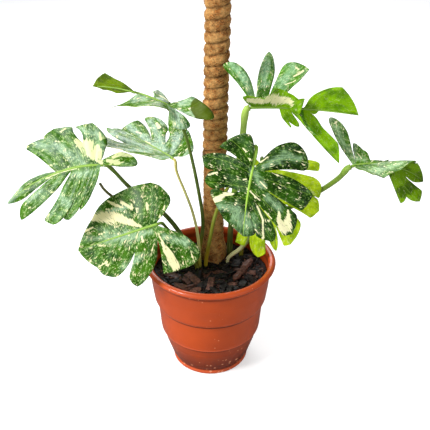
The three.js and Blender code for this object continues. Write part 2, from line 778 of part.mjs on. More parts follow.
const AERIAL_ROOT = {
  name: 'aerial_root',
  foot: [-48, 8],
  way: [[-82, 18, 262], [-140, 20, 326], [-188, 13, 368], [-200, 6, 386]],
  end: [-205, -2, 402],
  radii: [3.4, 3.2, 2.6],
};

/** Curve of a stem from its foot in the soil to its end. */
function stemCurve(foot, way, ends) {
  const [x, y] = foot;
  const path = [STEM_FOOT, 188, SOIL_TOP + 8].map((z) => new THREE.Vector3(x, y, z));
  way.forEach((point) => path.push(new THREE.Vector3(...point)));
  return new THREE.CatmullRomCurve3([...path, ...ends], false, 'centripetal');
}

/** Tapered stem, grown by a clearance where it cuts its own hole. */
function stemTube(curve, radii, clearance = 0) {
  const [low, middle, high] = radii;
  const radiusAt = (t) => {
    const radius = t < 0.5 ? lerp(low, middle, t * 2) : lerp(middle, high, t * 2 - 1);
    return radius + clearance;
  };
  return taperedTube(curve, radiusAt, 7, 16);
}

/** All stems with their curves. */
function stemsFor(blades) {
  const stems = STEMS.map(({ name, leaf, foot, way, radii }) => {
    const blade = blades.get(leaf);
    const { tangent, normal } = blade.axesAt(0);
    const end = blade.neck().addScaledVector(tangent, -NECK_GAP);
    const knee = end.clone().addScaledVector(tangent, -KNEE_BACK);
    knee.addScaledVector(normal, -KNEE_UNDER);
    return { name, radii, curve: stemCurve(foot, way, [knee, end]) };
  });
  const rootEnd = new THREE.Vector3(...AERIAL_ROOT.end);
  const rootCurve = stemCurve(AERIAL_ROOT.foot, AERIAL_ROOT.way, [rootEnd]);
  stems.push({ name: AERIAL_ROOT.name, radii: AERIAL_ROOT.radii, curve: rootCurve });
  return stems;
}

// The soil

const SOIL_PROFILE = [
  [0, POT_FLOOR + PIECE_GAP], [70.2, POT_FLOOR + PIECE_GAP], [73, 11.6], [78.8, 23.2],
  [83.6, 39.2], [89.5, 57.2], [93.3, 76.2], [99, 88.6], [100.6, 110.4], [102.2, 130.6],
  [103.7, 148.6], [109.9, 157.8], [114.1, 188],
];

/** Filling of the pot with a rough top of bark chips. */
function soilGeometry(stems) {
  const random = seededRandom(11);
  const rim = [[114.5, SOIL_TOP - 3], [104, SOIL_TOP + 1], [60, SOIL_TOP - 1], [0, SOIL_TOP]];
  let soil = solidOf(turned([...SOIL_PROFILE, ...rim], 32));
  for (let chip = 0; chip < CHIPS; chip += 1) {
    const reach = CHIP_REACH * Math.sqrt(random());
    const turn = 2 * Math.PI * random();
    const long = lerp(16, 34, random());
    const wide = lerp(8, 15, random());
    const box = new THREE.BoxGeometry(long, wide, CHIP_DEPTH);
    box.rotateX(lerp(-0.3, 0.3, random())).rotateY(lerp(-0.35, 0.35, random()));
    box.rotateZ(2 * Math.PI * random());
    const shift = Math.min(reach, 114 - long / 2 - 3);
    box.translate(shift * Math.cos(turn), shift * Math.sin(turn), SOIL_TOP - 1);
    soil = soil.add(solidOf(box));
  }
  soil = soil.subtract(poleHole());
  stems.forEach(({ curve, radii }) => {
    soil = soil.subtract(solidOf(stemTube(curve, radii, PIECE_GAP)));
    const foot = curve.getPoint(0);
    const pit = uprightCylinder(radii[0] + 0.3, STEM_FOOT - 1, STEM_FOOT + 2, foot.x, foot.y, 7);
    soil = soil.subtract(solidOf(pit));
  });
  return geometryOf(soil);
}

/** Stepped hole that the pole stands in. */
function poleHole() {
  const bore = (radius, from) => {
    const low = poleCentre(from);
    const high = poleCentre(SOIL_TOP + 20);
    const start = new THREE.Vector3(low.x, low.y, from);
    const end = new THREE.Vector3(high.x, high.y, SOIL_TOP + 20);
    return solidOf(taperedTube(new THREE.LineCurve3(start, end), () => radius, 14, 1));
  };
  const narrow = bore(COIR_MAT_RADIUS + POLE_CLEARANCE, POLE_FOOT - PIECE_GAP);
  return narrow.add(bore(COIR_FOOT_RADIUS + POLE_CLEARANCE, COIR_FOOT_LOW - 8));
}

// The whole plant

const TERRACOTTA = { color: 0xc8553a, roughness: 0.35, metalness: 0 };
const BARK = { color: 0x2a211e, roughness: 0.95, metalness: 0 };
const COIR = { color: 0x8a6236, roughness: 0.95, metalness: 0 };
const STAKE = { color: 0xa58a60, roughness: 0.8, metalness: 0 };
const BLADE = { color: 0x5f8f56, roughness: 0.4, metalness: 0, side: THREE.DoubleSide };
const PETIOLE = { color: 0x86a045, roughness: 0.5, metalness: 0 };
const ROOT = { color: 0x4c4a24, roughness: 0.8, metalness: 0 };

const group = new THREE.Group();

/** Adds one named piece. */
function addPiece(name, geometry, finish) {
  const mesh = new THREE.Mesh(geometry, new THREE.MeshStandardMaterial(finish));
  mesh.name = name;
  group.add(mesh);
}

const blades = new Map(LEAVES.map((spec) => [spec.name, new Blade(spec)]));
const stems = stemsFor(blades);

addPiece('pot', potGeometry(), TERRACOTTA);
addPiece('soil', soilGeometry(stems), BARK);
addPiece('pole_stake', stakeGeometry(), STAKE);
addPiece('pole_coir', coirGeometry(), COIR);
stems.forEach(({ name, radii, curve }) => {
  addPiece(name, stemTube(curve, radii), name === AERIAL_ROOT.name ? ROOT : PETIOLE);
});
blades.forEach((blade, name) => addPiece(name, blade.geometry(), BLADE));

export default group;
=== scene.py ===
"""A potted thai constellation monstera on a coir pole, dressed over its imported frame.

Sizes in the specs are millimetres in the frame's axes (+Z up, viewer at -Y, origin under the
middle of the pot); every mesh is written in metres.
"""
import logging
import math
from dataclasses import dataclass
from enum import Enum
from typing import Any, Optional, Sequence

import bmesh
import bpy
import numpy as np
from mathutils import Matrix, Vector, noise


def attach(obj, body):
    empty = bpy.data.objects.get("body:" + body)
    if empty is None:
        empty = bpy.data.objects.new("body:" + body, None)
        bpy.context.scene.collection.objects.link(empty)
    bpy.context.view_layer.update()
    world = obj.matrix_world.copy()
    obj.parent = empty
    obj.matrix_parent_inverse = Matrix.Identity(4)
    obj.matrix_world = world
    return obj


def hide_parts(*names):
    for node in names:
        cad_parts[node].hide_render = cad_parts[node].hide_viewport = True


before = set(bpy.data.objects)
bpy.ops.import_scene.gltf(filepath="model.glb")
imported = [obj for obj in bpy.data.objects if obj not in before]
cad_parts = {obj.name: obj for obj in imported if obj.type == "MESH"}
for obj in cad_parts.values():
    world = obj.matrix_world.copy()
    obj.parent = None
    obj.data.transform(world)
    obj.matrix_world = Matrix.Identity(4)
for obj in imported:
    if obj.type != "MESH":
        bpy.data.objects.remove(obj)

LOG = logging.getLogger("monstera")
MM = 0.001
SOIL_TOP = 205.0
SHAPE_SEED = 3
Colour = tuple[float, float, float, float]
Size = tuple[float, float, float]
Pair = tuple[float, float]


def srgb(red: int, green: int, blue: int) -> Colour:
    """Linear colour of an 8 bit display colour.

    Args:
        red: Red from 0 to 255.
        green: Green from 0 to 255.
        blue: Blue from 0 to 255.

    Returns:
        The linear colour, opaque.
    """
    parts = [c / 255 for c in (red, green, blue)]
    linear = [c / 12.92 if c <= 0.04045 else ((c + 0.055) / 1.055) ** 2.4 for c in parts]
    return (linear[0], linear[1], linear[2], 1.0)


def smoothstep(low: float, high: float, value: np.ndarray) -> np.ndarray:
    """Smooth 0 to 1 ramp between two values."""
    place = np.clip((value - low) / (high - low), 0.0, 1.0)
    return place * place * (3 - 2 * place)


# Shader and geometry trees


class Wiring:
    """Short calls that add and link nodes in one node tree."""

    def __init__(self, tree: bpy.types.NodeTree) -> None:
        """Keeps the tree that is wired."""
        self.tree = tree

    def node(self, kind: str, inputs: Optional[dict[Any, Any]] = None, **settings: Any) -> Any:
        """Adds one node.

        Args:
            kind: The node's type name.
            inputs: Values or sockets by input name or index.
            settings: The node's own properties.

        Returns:
            The new node.
        """
        made = self.tree.nodes.new(kind)
        for name, value in settings.items():
            setattr(made, name, value)
        for name, value in (inputs or {}).items():
            if isinstance(value, bpy.types.NodeSocket):
                self.tree.links.new(value, made.inputs[name])
            else:
                made.inputs[name].default_value = value
        return made

    def math(self, operation: str, first: Any, second: Any = 0.0, clamp: bool = False) -> Any:
        """Output socket of one math node.

        Args:
            operation: The node's operation.
            first: First value or socket.
            second: Second value or socket.
            clamp: True to keep the result between 0 and 1.

        Returns:
            The result's socket.
        """
        made = self.node("ShaderNodeMath", {0: first, 1: second}, operation=operation)
        made.use_clamp = clamp
        return made.outputs[0]

    def times(self, first: Any, second: Any) -> Any:
        """Output socket of a product."""
        return self.math("MULTIPLY", first, second)

    def plus(self, first: Any, second: Any) -> Any:
        """Output socket of a sum."""
        return self.math("ADD", first, second)

    def minus(self, first: Any, second: Any, clamp: bool = False) -> Any:
        """Output socket of a difference."""
        return self.math("SUBTRACT", first, second, clamp)

    def larger(self, first: Any, second: Any) -> Any:
        """Output socket of the larger of two values."""
        return self.math("MAXIMUM", first, second)

    def size_of(self, value: Any) -> Any:
        """Output socket of a value without its sign."""
        return self.math("ABSOLUTE", value)

    def ramp(self, value: Any, low: Any, high: Any, start: float = 0.0, end: float = 1.0) -> Any:
        """Output socket of a smooth range map from low..high to start..end."""
        made = self.node(
            "ShaderNodeMapRange",
            {"Value": value, "From Min": low, "From Max": high, "To Min": start, "To Max": end},
            interpolation_type="SMOOTHSTEP",
        )
        return made.outputs["Result"]

    def mix(self, factor: Any, low: Any, high: Any) -> Any:
        """Output socket of a colour mix."""
        made = self.node("ShaderNodeMix", {0: factor, 6: low, 7: high}, data_type="RGBA")
        return made.outputs[2]

    def noise(self, vector: Any, scale: Any, detail: float) -> Any:
        """Output socket of a noise texture."""
        inputs = {"Vector": vector, "Scale": scale, "Detail": detail}
        return self.node("ShaderNodeTexNoise", inputs).outputs[0]

    def split(self, vector: Any) -> Any:
        """Output sockets of a vector's three parts."""
        return self.node("ShaderNodeSeparateXYZ", {0: vector}).outputs

    def join(self, x: Any, y: Any, z: Any) -> Any:
        """Output socket of a vector made of three parts."""
        return self.node("ShaderNodeCombineXYZ", {0: x, 1: y, 2: z}).outputs[0]

    def uv(self, name: str) -> Any:
        """Output socket of one of the mesh's UV maps."""
        return self.node("ShaderNodeUVMap", uv_map=name).outputs[0]

    def value(self, name: str) -> Any:
        """Output socket of one of the mesh's float attributes."""
        return self.node("ShaderNodeAttribute", attribute_name=name).outputs["Fac"]

    def place(self) -> Any:
        """Output socket of the place on the object, in metres."""
        return self.node("ShaderNodeTexCoord").outputs["Object"]

    def link(self, source: Any, target: Any) -> None:
        """Links two sockets."""
        self.tree.links.new(source, target)


def shader_group(name: str, output: str, **inputs: Optional[float]) -> tuple[Wiring, Any, Any]:
    """Starts a shader node group with one output.

    Args:
        name: The group's name.
        output: The name of its float output.
        inputs: Default by input name; None makes it a vector.

    Returns:
        The wiring, the sockets of its inputs and the group output node.
    """
    tree = bpy.data.node_groups.new(name, "ShaderNodeTree")
    for label, default in inputs.items():
        kind = "NodeSocketVector" if default is None else "NodeSocketFloat"
        socket = tree.interface.new_socket(label, in_out="INPUT", socket_type=kind)
        if default is not None:
            socket.default_value = default
    tree.interface.new_socket(output, in_out="OUTPUT", socket_type="NodeSocketFloat")
    wires = Wiring(tree)
    return wires, wires.node("NodeGroupInput").outputs, wires.node("NodeGroupOutput")


class Effects:
    """The masks that several finishes share, each built once as a node group.

    Regions are how much coarser the gathering is than the marks themselves.
    """

    speck_regions = 0.07
    speck_fill = 0.9
    speck_edge = 0.12
    streak_regions = 0.2
    streak_level = 0.82
    wander_scale = 0.9
    wander = 0.9
    shortest = 0.0001

    def __init__(self) -> None:
        """Builds the groups."""
        self.specks = self._specks()
        self.streaks = self._streaks()
        self.mottle = self._mottle()
        self.fibres = self._fibres()
        self.stroke = self._stroke()

    @staticmethod
    def _lean(wires: Wiring, given: Any, coarseness: float) -> Any:
        """How much more or less a region is marked than the whole."""
        coarse = wires.noise(given["Vector"], wires.times(given["Scale"], coarseness), 1.0)
        return wires.times(wires.minus(coarse, 0.5), given["Gather"])

    def _specks(self) -> bpy.types.NodeTree:
        """Small round specks; Amount is how much of the surface they cover.

        Returns:
            The node group.
        """
        wires, given, out = shader_group(
            "specks", "Mask", Vector=None, Scale=5.0, Amount=0.4, Gather=0.6
        )
        cells = wires.node(
            "ShaderNodeTexVoronoi", {"Vector": given["Vector"], "Scale": given["Scale"]}
        ).outputs
        chance = wires.node("ShaderNodeSeparateColor", {0: cells["Color"]}).outputs[0]
        level = wires.plus(given["Amount"], self._lean(wires, given, self.speck_regions))
        size = wires.times(wires.minus(level, chance), self.speck_fill)
        inside = wires.minus(size, cells["Distance"])
        wires.link(wires.ramp(inside, 0.0, self.speck_edge), out.inputs[0])
        return wires.tree

    def _streaks(self) -> bpy.types.NodeTree:
        """Dashes drawn out along the first coordinate, gathered here and there.

        Returns:
            The node group.
        """
        wires, given, out = shader_group(
            "streaks", "Mask", Vector=None, Scale=2.0, Stretch=0.16, Amount=0.4, Gather=0.6,
            Edge=0.045,
        )
        x, y, _ = wires.split(given["Vector"])
        bend = wires.noise(given["Vector"], self.wander_scale, 1.0)
        across = wires.plus(y, wires.times(wires.minus(bend, 0.5), self.wander))
        drawn = wires.join(wires.times(x, given["Stretch"]), across, given["Scale"])
        field = wires.noise(drawn, given["Scale"], 3.0)
        level = wires.plus(field, self._lean(wires, given, self.streak_regions))
        edge = wires.minus(self.streak_level, wires.times(given["Amount"], 0.5))
        wires.link(wires.ramp(level, edge, wires.plus(edge, given["Edge"])), out.inputs[0])
        return wires.tree

    @staticmethod
    def _mottle() -> bpy.types.NodeTree:
        """Soft cloudy variation between 0 and 1.

        Returns:
            The node group.
        """
        wires, given, out = shader_group("mottle", "Value", Vector=None, Scale=1.0)
        cloud = wires.noise(given["Vector"], given["Scale"], 4.0)
        wires.link(wires.ramp(cloud, 0.3, 0.7), out.inputs[0])
        return wires.tree

    @staticmethod
    def _fibres() -> bpy.types.NodeTree:
        """Fine hairs drawn out along the first coordinate, for heights.

        Returns:
            The node group.
        """
        wires, given, out = shader_group(
            "fibre grain", "Height", Vector=None, Scale=1.0, Stretch=0.05
        )
        x, y, z = wires.split(given["Vector"])
        drawn = wires.join(wires.times(x, given["Stretch"]), y, z)
        wires.link(wires.noise(drawn, given["Scale"], 3.0), out.inputs[0])
        return wires.tree

    def _stroke(self) -> bpy.types.NodeTree:
        """How far a point lies from a tapered stroke, in half widths: 1 on its edge.

        Returns:
            The node group.
        """
        wires, given, out = shader_group(
            "stroke", "Off", Vector=None, Start=None, End=None, First=0.2, Last=0.2
        )

        def vector(operation: str, first: Any, second: Any, output: int = 0) -> Any:
            """Output socket of one vector math node."""
            made = wires.node("ShaderNodeVectorMath", {0: first, 1: second}, operation=operation)
            return made.outputs[output]

        offset = vector("SUBTRACT", given["Vector"], given["Start"])
        span = vector("SUBTRACT", given["End"], given["Start"])
        whole = wires.larger(vector("DOT_PRODUCT", span, span, 1), self.shortest)
        share = wires.math("DIVIDE", vector("DOT_PRODUCT", offset, span, 1), whole, clamp=True)
        foot = vector("MULTIPLY", span, wires.join(share, share, share))
        apart = vector("DISTANCE", offset, foot, 1)
        growth = wires.times(wires.minus(given["Last"], given["First"]), share)
        width = wires.plus(given["First"], growth)
        wires.link(wires.math("DIVIDE", apart, width), out.inputs[0])
        return wires.tree


# The finishes


class Finish:
    """Base of the finishes: opens a material and gives its Principled shader."""

    def open(self, name: str, **values: Any) -> tuple[bpy.types.Material, Wiring, Any]:
        """Starts a material.

        Args:
            name: The material's name.
            values: Constants for the shader's own sockets, underscores for spaces.

        Returns:
            The material, its wiring and the inputs of its Principled shader.
        """
        material = bpy.data.materials.new(name)
        material.use_nodes = True
        material.node_tree.nodes.clear()
        wires = Wiring(material.node_tree)
        shader = wires.node("ShaderNodeBsdfPrincipled")
        for label, value in values.items():
            shader.inputs[label.replace("_", " ")].default_value = value
        output = wires.node("ShaderNodeOutputMaterial")
        wires.link(shader.outputs[0], output.inputs["Surface"])
        return material, wires, shader.inputs

    @staticmethod
    def use(wires: Wiring, group: bpy.types.NodeTree, **values: Any) -> Any:
        """First output of a placed group, with its inputs set by name."""
        return wires.node("ShaderNodeGroup", values, node_tree=group).outputs[0]

    @staticmethod
    def bump(wires: Wiring, shader: Any, height: Any, strength: float, depth: float) -> None:
        """Feeds a height through a Bump node into the shader's normal."""
        inputs = {"Strength": strength, "Distance": depth, "Height": height}
        wires.link(wires.node("ShaderNodeBump", inputs).outputs[0], shader["Normal"])


@dataclass(frozen=True)
class Streaks:
    """One kind of streak along a leaf's veins."""

    scale: float
    stretch: float
    gather: float
    edge: float

    def mask(self, wires: Wiring, effects: Effects, vein: Any, amount: Any) -> Any:
        """Where the streaks lie, for an amount of them."""
        return Finish.use(
            wires, effects.streaks, Vector=vein, Scale=self.scale, Stretch=self.stretch,
            Amount=amount, Gather=self.gather, Edge=self.edge,
        )


Stroke = tuple[tuple[float, float, float], ...]


@dataclass(frozen=True)
class BladeFinish(Finish):
    """Marbled cream and green leaf: glossy above, lime green below.

    Strokes are chains of x, y and width in millimetres on the blade's flat plan. Creams are
    cream sectors, glare strokes mark painted glare, and folds show the lime green underside
    under painted shade. The marbling and the painted glare share one pale colour, and the
    underside's faint emission is a painted backlight.
    """

    deep: Colour = srgb(28, 72, 0)
    fresh: Colour = srgb(80, 130, 10)
    dew: Colour = srgb(174, 206, 120)
    # Colour of both the marbling and the painted glare.
    silver_and_glare: Colour = srgb(172, 204, 160)
    cream: Colour = srgb(238, 232, 184)
    rib: Colour = srgb(132, 172, 60)
    lime: Colour = srgb(142, 176, 0)
    olive: Colour = srgb(92, 128, 0)
    # Dark olive that the folds lean to as painted shade.
    fold_painted_shade: Colour = srgb(58, 66, 2)
    # Strength of the underside's emission, a painted backlight.
    backlight_glow: float = 0.04
    marble: float = 0.25
    # How strongly the painted glare shows round its strokes.
    painted_glare: float = 0.75
    grain: float = 0.72
    flecks: float = 0.4
    dashes: float = 0.36
    rib_width: float = 0.1
    rib_share: float = 0.6
    rib_reach: float = 12.0
    relief: float = 0.3
    relief_depth: float = 0.0005
    marbling: Streaks = Streaks(scale=0.9, stretch=0.3, gather=1.0, edge=0.2)
    fine: Streaks = Streaks(scale=6.6, stretch=0.42, gather=0.4, edge=0.08)
    fleck: Streaks = Streaks(scale=5.4, stretch=0.3, gather=0.8, edge=0.07)
    dash: Streaks = Streaks(scale=4.6, stretch=0.11, gather=1.1, edge=0.07)
    stain: Streaks = Streaks(scale=4.2, stretch=0.25, gather=0.6, edge=0.1)
    under_fine: Streaks = Streaks(scale=8.0, stretch=0.4, gather=0.4, edge=0.25)
    under_dash: Streaks = Streaks(scale=4.6, stretch=0.16, gather=0.9, edge=0.12)
    creams: tuple[Stroke, ...] = ()
    # Strokes of painted glare, in millimetres on the plan.
    glare_strokes: tuple[Stroke, ...] = ()
    folds: tuple[Stroke, ...] = ()

    def _off(self, wires: Wiring, effects: Effects, plan: Any, strokes: tuple[Stroke, ...]) -> Any:
        """How far a place on the plan lies from the nearest stroke, 1 on its edge.

        Args:
            wires: The material's wiring.
            effects: The masks that the finishes share.
            plan: Socket of the place on the blade's flat plan, in centimetres.
            strokes: The strokes, in millimetres.

        Returns:
            Socket of the distance in half widths.
        """
        nearest: Any = 9.0
        for stroke in strokes:
            for (ax, ay, aw), (bx, by, bw) in zip(stroke, stroke[1:]):
                off = self.use(
                    wires, effects.stroke, Vector=plan, Start=(ax / 10, ay / 10, 0.0),
                    End=(bx / 10, by / 10, 0.0), First=aw / 20, Last=bw / 20,
                )
                nearest = wires.math("MINIMUM", off, nearest)
        return nearest

    def _pale(self, wires: Wiring, effects: Effects, plan: Any, vein: Any) -> tuple[Any, Any]:
        """Masks of the painted glare and of the cream sectors, with streaked edges.

        Args:
            wires: The material's wiring.
            effects: The masks that the finishes share.
            plan: Socket of the place on the blade's flat plan, in centimetres.
            vein: Socket of the place along and across the nearest vein, in centimetres.

        Returns:
            Sockets of the painted glare's and the sectors' masks.
        """
        hairs = self.use(wires, effects.fibres, Vector=vein, Scale=3.4, Stretch=0.1)
        drift = wires.times(wires.minus(hairs, 0.5), 2.6)
        cloud = self.use(wires, effects.mottle, Vector=plan, Scale=0.8)
        # Painted glare: soft pale regions round the glare strokes.
        off = wires.plus(self._off(wires, effects, plan, self.glare_strokes), drift)
        soft = wires.plus(off, wires.times(cloud, 0.6))
        painted_glare = wires.times(wires.ramp(soft, 0.2, 1.9, 1.0, 0.0), self.painted_glare)
        off = wires.plus(self._off(wires, effects, plan, self.creams), drift)
        sector = wires.ramp(off, 0.85, 1.15, 1.0, 0.0)
        stain = self.stain.mask(wires, effects, vein, 0.4)
        sector = wires.minus(sector, wires.times(stain, 0.5), clamp=True)
        return painted_glare, sector

    def _folded(self, wires: Wiring, effects: Effects, plan: Any, cloud: Any, colour: Any) -> Any:
        """The colour with the underside's own, under painted shade, where the blade is folded over.

        Args:
            wires: The material's wiring.
            effects: The masks that the finishes share.
            plan: Socket of the place on the blade's flat plan, in centimetres.
            cloud: Socket of the blade's cloudy variation.
            colour: Socket of the colour so far.

        Returns:
            The new colour's socket.
        """
        fold = wires.ramp(self._off(wires, effects, plan, self.folds), 0.9, 1.05, 1.0, 0.0)
        # Painted shade: the underside's colours pulled most of the way to a dark olive.
        fold_in_painted_shade = wires.mix(0.75, wires.mix(cloud, self.olive, self.lime), self.fold_painted_shade)
        return wires.mix(wires.times(fold, 0.95), colour, fold_in_painted_shade)

    def _veined(self, wires: Wiring, plan: Any, ribs: Any, colour: Any) -> Any:
        """The colour with the pale midrib and its faint side veins.

        Args:
            wires: The material's wiring.
            plan: Socket of the place on the blade's flat plan, in centimetres.
            ribs: Socket of the side veins' mask.
            colour: Socket of the colour so far.

        Returns:
            The new colour's socket.
        """
        along, beside, _ = wires.split(plan)
        narrow = wires.ramp(along, 0.0, self.rib_reach, self.rib_width, 0.02)
        inside = wires.math("DIVIDE", wires.size_of(beside), narrow)
        midrib = wires.ramp(wires.minus(1.0, inside, clamp=True), 0.0, 0.4)
        line = wires.larger(wires.times(ribs, 0.3), midrib)
        return wires.mix(wires.times(line, self.rib_share), colour, self.rib)

    def top(self, name: str, effects: Effects) -> bpy.types.Material:
        """Upper face: deep green, marbling and painted glare in one pale colour, cream flecks,
        dashes and sectors.

        Args:
            name: The material's name.
            effects: The masks that the finishes share.

        Returns:
            The material.
        """
        material, wires, shader = self.open(
            name, Coat_Weight=0.06, Coat_Roughness=0.22, Specular_IOR_Level=0.11
        )
        plan, vein = wires.uv("plan"), wires.uv("vein")
        cloud = self.use(wires, effects.mottle, Vector=plan, Scale=0.35)
        colour = wires.mix(wires.times(cloud, 0.9), self.deep, self.fresh)
        # Mask of the painted glare, and the cream sectors.
        painted_glare, sector = self._pale(wires, effects, plan, vein)
        marble = self.marbling.mask(wires, effects, vein, 0.64)
        # The marbling and the painted glare lean towards one shared pale colour.
        silver_and_glare_mask = wires.larger(painted_glare, wires.times(marble, self.marble))
        colour = wires.mix(wires.times(silver_and_glare_mask, 0.55), colour, self.silver_and_glare)
        share = wires.plus(wires.times(silver_and_glare_mask, 0.26), 0.5)
        grain = self.fine.mask(wires, effects, vein, share)
        bright = wires.mix(silver_and_glare_mask, self.dew, self.silver_and_glare)
        colour = wires.mix(wires.times(grain, self.grain), colour, bright)
        fleck = self.fleck.mask(wires, effects, vein, self.flecks)
        dash = self.dash.mask(wires, effects, vein, self.dashes)
        pale = wires.larger(wires.larger(dash, wires.times(fleck, 0.65)), sector)
        colour = wires.mix(wires.times(pale, 0.94), colour, self.cream)
        if self.folds:
            colour = self._folded(wires, effects, plan, cloud, colour)
        ribs = wires.ramp(wires.size_of(wires.split(vein)[1]), 0.015, 0.08, 1.0, 0.0)
        wires.link(self._veined(wires, plan, ribs, colour), shader["Base Color"])
        wires.link(wires.ramp(marble, 0.0, 1.0, 0.36, 0.46), shader["Roughness"])
        height = wires.plus(wires.times(ribs, -0.8), grain)
        self.bump(wires, shader, height, self.relief, self.relief_depth)
        return material

    def under(self, name: str, effects: Effects) -> bpy.types.Material:
        """Lower face: lime green with raised pale veins and faint marbling, giving off a faint
        emission of its own colour as painted backlight.

        Args:
            name: The material's name.
            effects: The masks that the finishes share.

        Returns:
            The material.
        """
        material, wires, shader = self.open(
            name, Specular_IOR_Level=0.06, Emission_Strength=self.backlight_glow
        )
        plan, vein = wires.uv("plan"), wires.uv("vein")
        cloud = self.use(wires, effects.mottle, Vector=plan, Scale=0.3)
        drawn = self.use(wires, effects.fibres, Vector=vein, Scale=1.6, Stretch=0.2)
        cloud = wires.ramp(wires.plus(cloud, drawn), 0.6, 1.3)
        colour = wires.mix(cloud, self.olive, self.lime)
        fine = self.under_fine.mask(wires, effects, vein, 0.56)
        colour = wires.mix(wires.times(fine, 0.35), colour, self.cream)
        dash = self.under_dash.mask(wires, effects, vein, self.dashes)
        sector = self._pale(wires, effects, plan, vein)[1]
        pale = wires.larger(wires.times(dash, 0.3), wires.times(sector, 0.85))
        colour = wires.mix(pale, colour, self.cream)
        ribs = wires.ramp(wires.size_of(wires.split(vein)[1]), 0.02, 0.1, 1.0, 0.0)
        colour = wires.mix(wires.times(ribs, 0.4), colour, self.rib)
        wires.link(colour, shader["Base Color"])
        # Emission of the underside's own colour: painted backlight.
        wires.link(colour, shader["Emission Color"])
        wires.link(wires.ramp(cloud, 0.0, 1.0, 0.42, 0.55), shader["Roughness"])
        self.bump(wires, shader, wires.plus(ribs, fine), self.relief, self.relief_depth)
        return material


@dataclass(frozen=True)
class StemFinish(Finish):
    """Smooth stem that changes colour from its foot to its leaf, with lengthwise lines."""

    foot: Colour
    middle: Colour
    head: Colour
    turn: float = 0.3
    line: Colour = (0.25, 0.3, 0.1, 1.0)

    def material(self, name: str, effects: Effects) -> bpy.types.Material:
        """The stem's material.

        Args:
            name: The material's name.
            effects: The masks that the finishes share.

        Returns:
            The material.
        """
        material, wires, shader = self.open(
            name, Coat_Weight=0.06, Coat_Roughness=0.25, Specular_IOR_Level=0.25
        )
        along = wires.value("way")
        low = wires.mix(wires.ramp(along, self.turn * 0.5, self.turn), self.foot, self.middle)
        colour = wires.mix(wires.ramp(along, 0.6, 1.0), low, self.head)
        lines = self.use(
            wires, effects.fibres, Vector=wires.uv("skin"), Scale=5.0, Stretch=0.06
        )
        shade = wires.times(wires.ramp(lines, 0.35, 0.65), 0.5)
        colour = wires.mix(shade, colour, wires.mix(0.55, colour, self.line))
        wires.link(colour, shader["Base Color"])
        wires.link(wires.ramp(lines, 0.3, 0.7, 0.36, 0.5), shader["Roughness"])
        self.bump(wires, shader, lines, 0.4, 0.0005)
        return material


@dataclass(frozen=True)
class PlasticFinish(Finish):
    """Moulded pot plastic, half gloss, with dried water specks, painted shade on its lower wall
    and in its creases, and painted highlights on its ridge, foot lip and rim.

    Heights are metres. Each crease has its height, its half width and the strength of its painted
    shadow.
    """

    body: Colour = srgb(182, 70, 20)
    shade: Colour = srgb(150, 54, 14)
    # Colour of the painted highlights.
    bright: Colour = srgb(212, 90, 46)
    # Colour of the painted shade.
    dark: Colour = srgb(84, 30, 12)
    speck: Colour = srgb(236, 160, 118)
    # Heights where the lower wall's painted shade fades out, and over which it deepens towards the
    # bottom.
    step: tuple[float, float] = (0.074, 0.080)
    foot: tuple[float, float] = (0.012, 0.07)
    # Painted shadows under the step, under the rim and under the ridge.
    creases: tuple[Size, ...] = (
        (0.1458, 0.004, 0.8), (0.2215, 0.007, 0.55), (0.0760, 0.004, 0.4),
    )
    # Heights of the painted highlights on the ridge, the foot lip and the rim's top.
    ridge: float = 0.0822
    lip: tuple[float, float] = (0.0075, 0.0105)
    rim: tuple[float, float] = (0.2255, 0.229)
    splashed: tuple[float, float] = (0.01, 0.13)

    def _banded(self, wires: Wiring, height: Any, colour: Any) -> Any:
        """The colour with painted shade on its lower wall and in its creases, and painted highlights
        on its ridge, lip and rim.

        Args:
            wires: The material's wiring.
            height: Socket of the height in metres.
            colour: Socket of the colour so far.

        Returns:
            The new colour's socket.
        """
        # Painted shade: the wall below the ridge darker, most of all towards the bottom.
        low = wires.ramp(height, *self.step, 1.0, 0.0)
        painted_low_shade = wires.ramp(height, *self.foot, 0.75, 0.3)
        colour = wires.mix(wires.times(low, painted_low_shade), colour, self.dark)
        # Painted shadows in the creases under the step, the rim and the ridge.
        for middle, reach, share in self.creases:
            off = wires.size_of(wires.minus(height, middle))
            crease = wires.ramp(off, reach * 0.3, reach, share, 0.0)
            colour = wires.mix(crease, colour, self.dark)
        # Painted highlights on the ridge, the foot lip and the top of the rim.
        off = wires.size_of(wires.minus(height, self.ridge))
        ridge = wires.ramp(off, 0.0008, 0.0032, 0.6, 0.0)
        lip = wires.ramp(height, *self.lip, 0.8, 0.0)
        colour = wires.mix(wires.larger(ridge, lip), colour, self.bright)
        return wires.mix(wires.ramp(height, *self.rim, 0.0, 0.2), colour, self.bright)

    def material(self, name: str, effects: Effects) -> bpy.types.Material:
        """The pot's material.

        Args:
            name: The material's name.
            effects: The masks that the finishes share.

        Returns:
            The material.
        """
        material, wires, shader = self.open(
            name, Coat_Weight=0.3, Coat_Roughness=0.1, Specular_IOR_Level=0.24
        )
        place = wires.place()
        height = wires.split(place)[2]
        cloud = self.use(wires, effects.mottle, Vector=place, Scale=9.0)
        colour = wires.mix(wires.times(cloud, 0.5), self.body, self.shade)
        colour = self._banded(wires, height, colour)
        amount = wires.ramp(height, *self.splashed, 0.48, 0.26)
        drops = self.use(
            wires, effects.specks, Vector=place, Scale=130.0, Amount=amount, Gather=0.9
        )
        colour = wires.mix(wires.times(drops, 0.6), colour, self.speck)
        wires.link(colour, shader["Base Color"])
        rough = wires.plus(wires.ramp(cloud, 0.0, 1.0, 0.3, 0.4), drops)
        wires.link(wires.math("MINIMUM", rough, 0.6), shader["Roughness"])
        self.bump(wires, shader, wires.noise(place, 420.0, 2.0), 0.12, 0.0004)
        return material


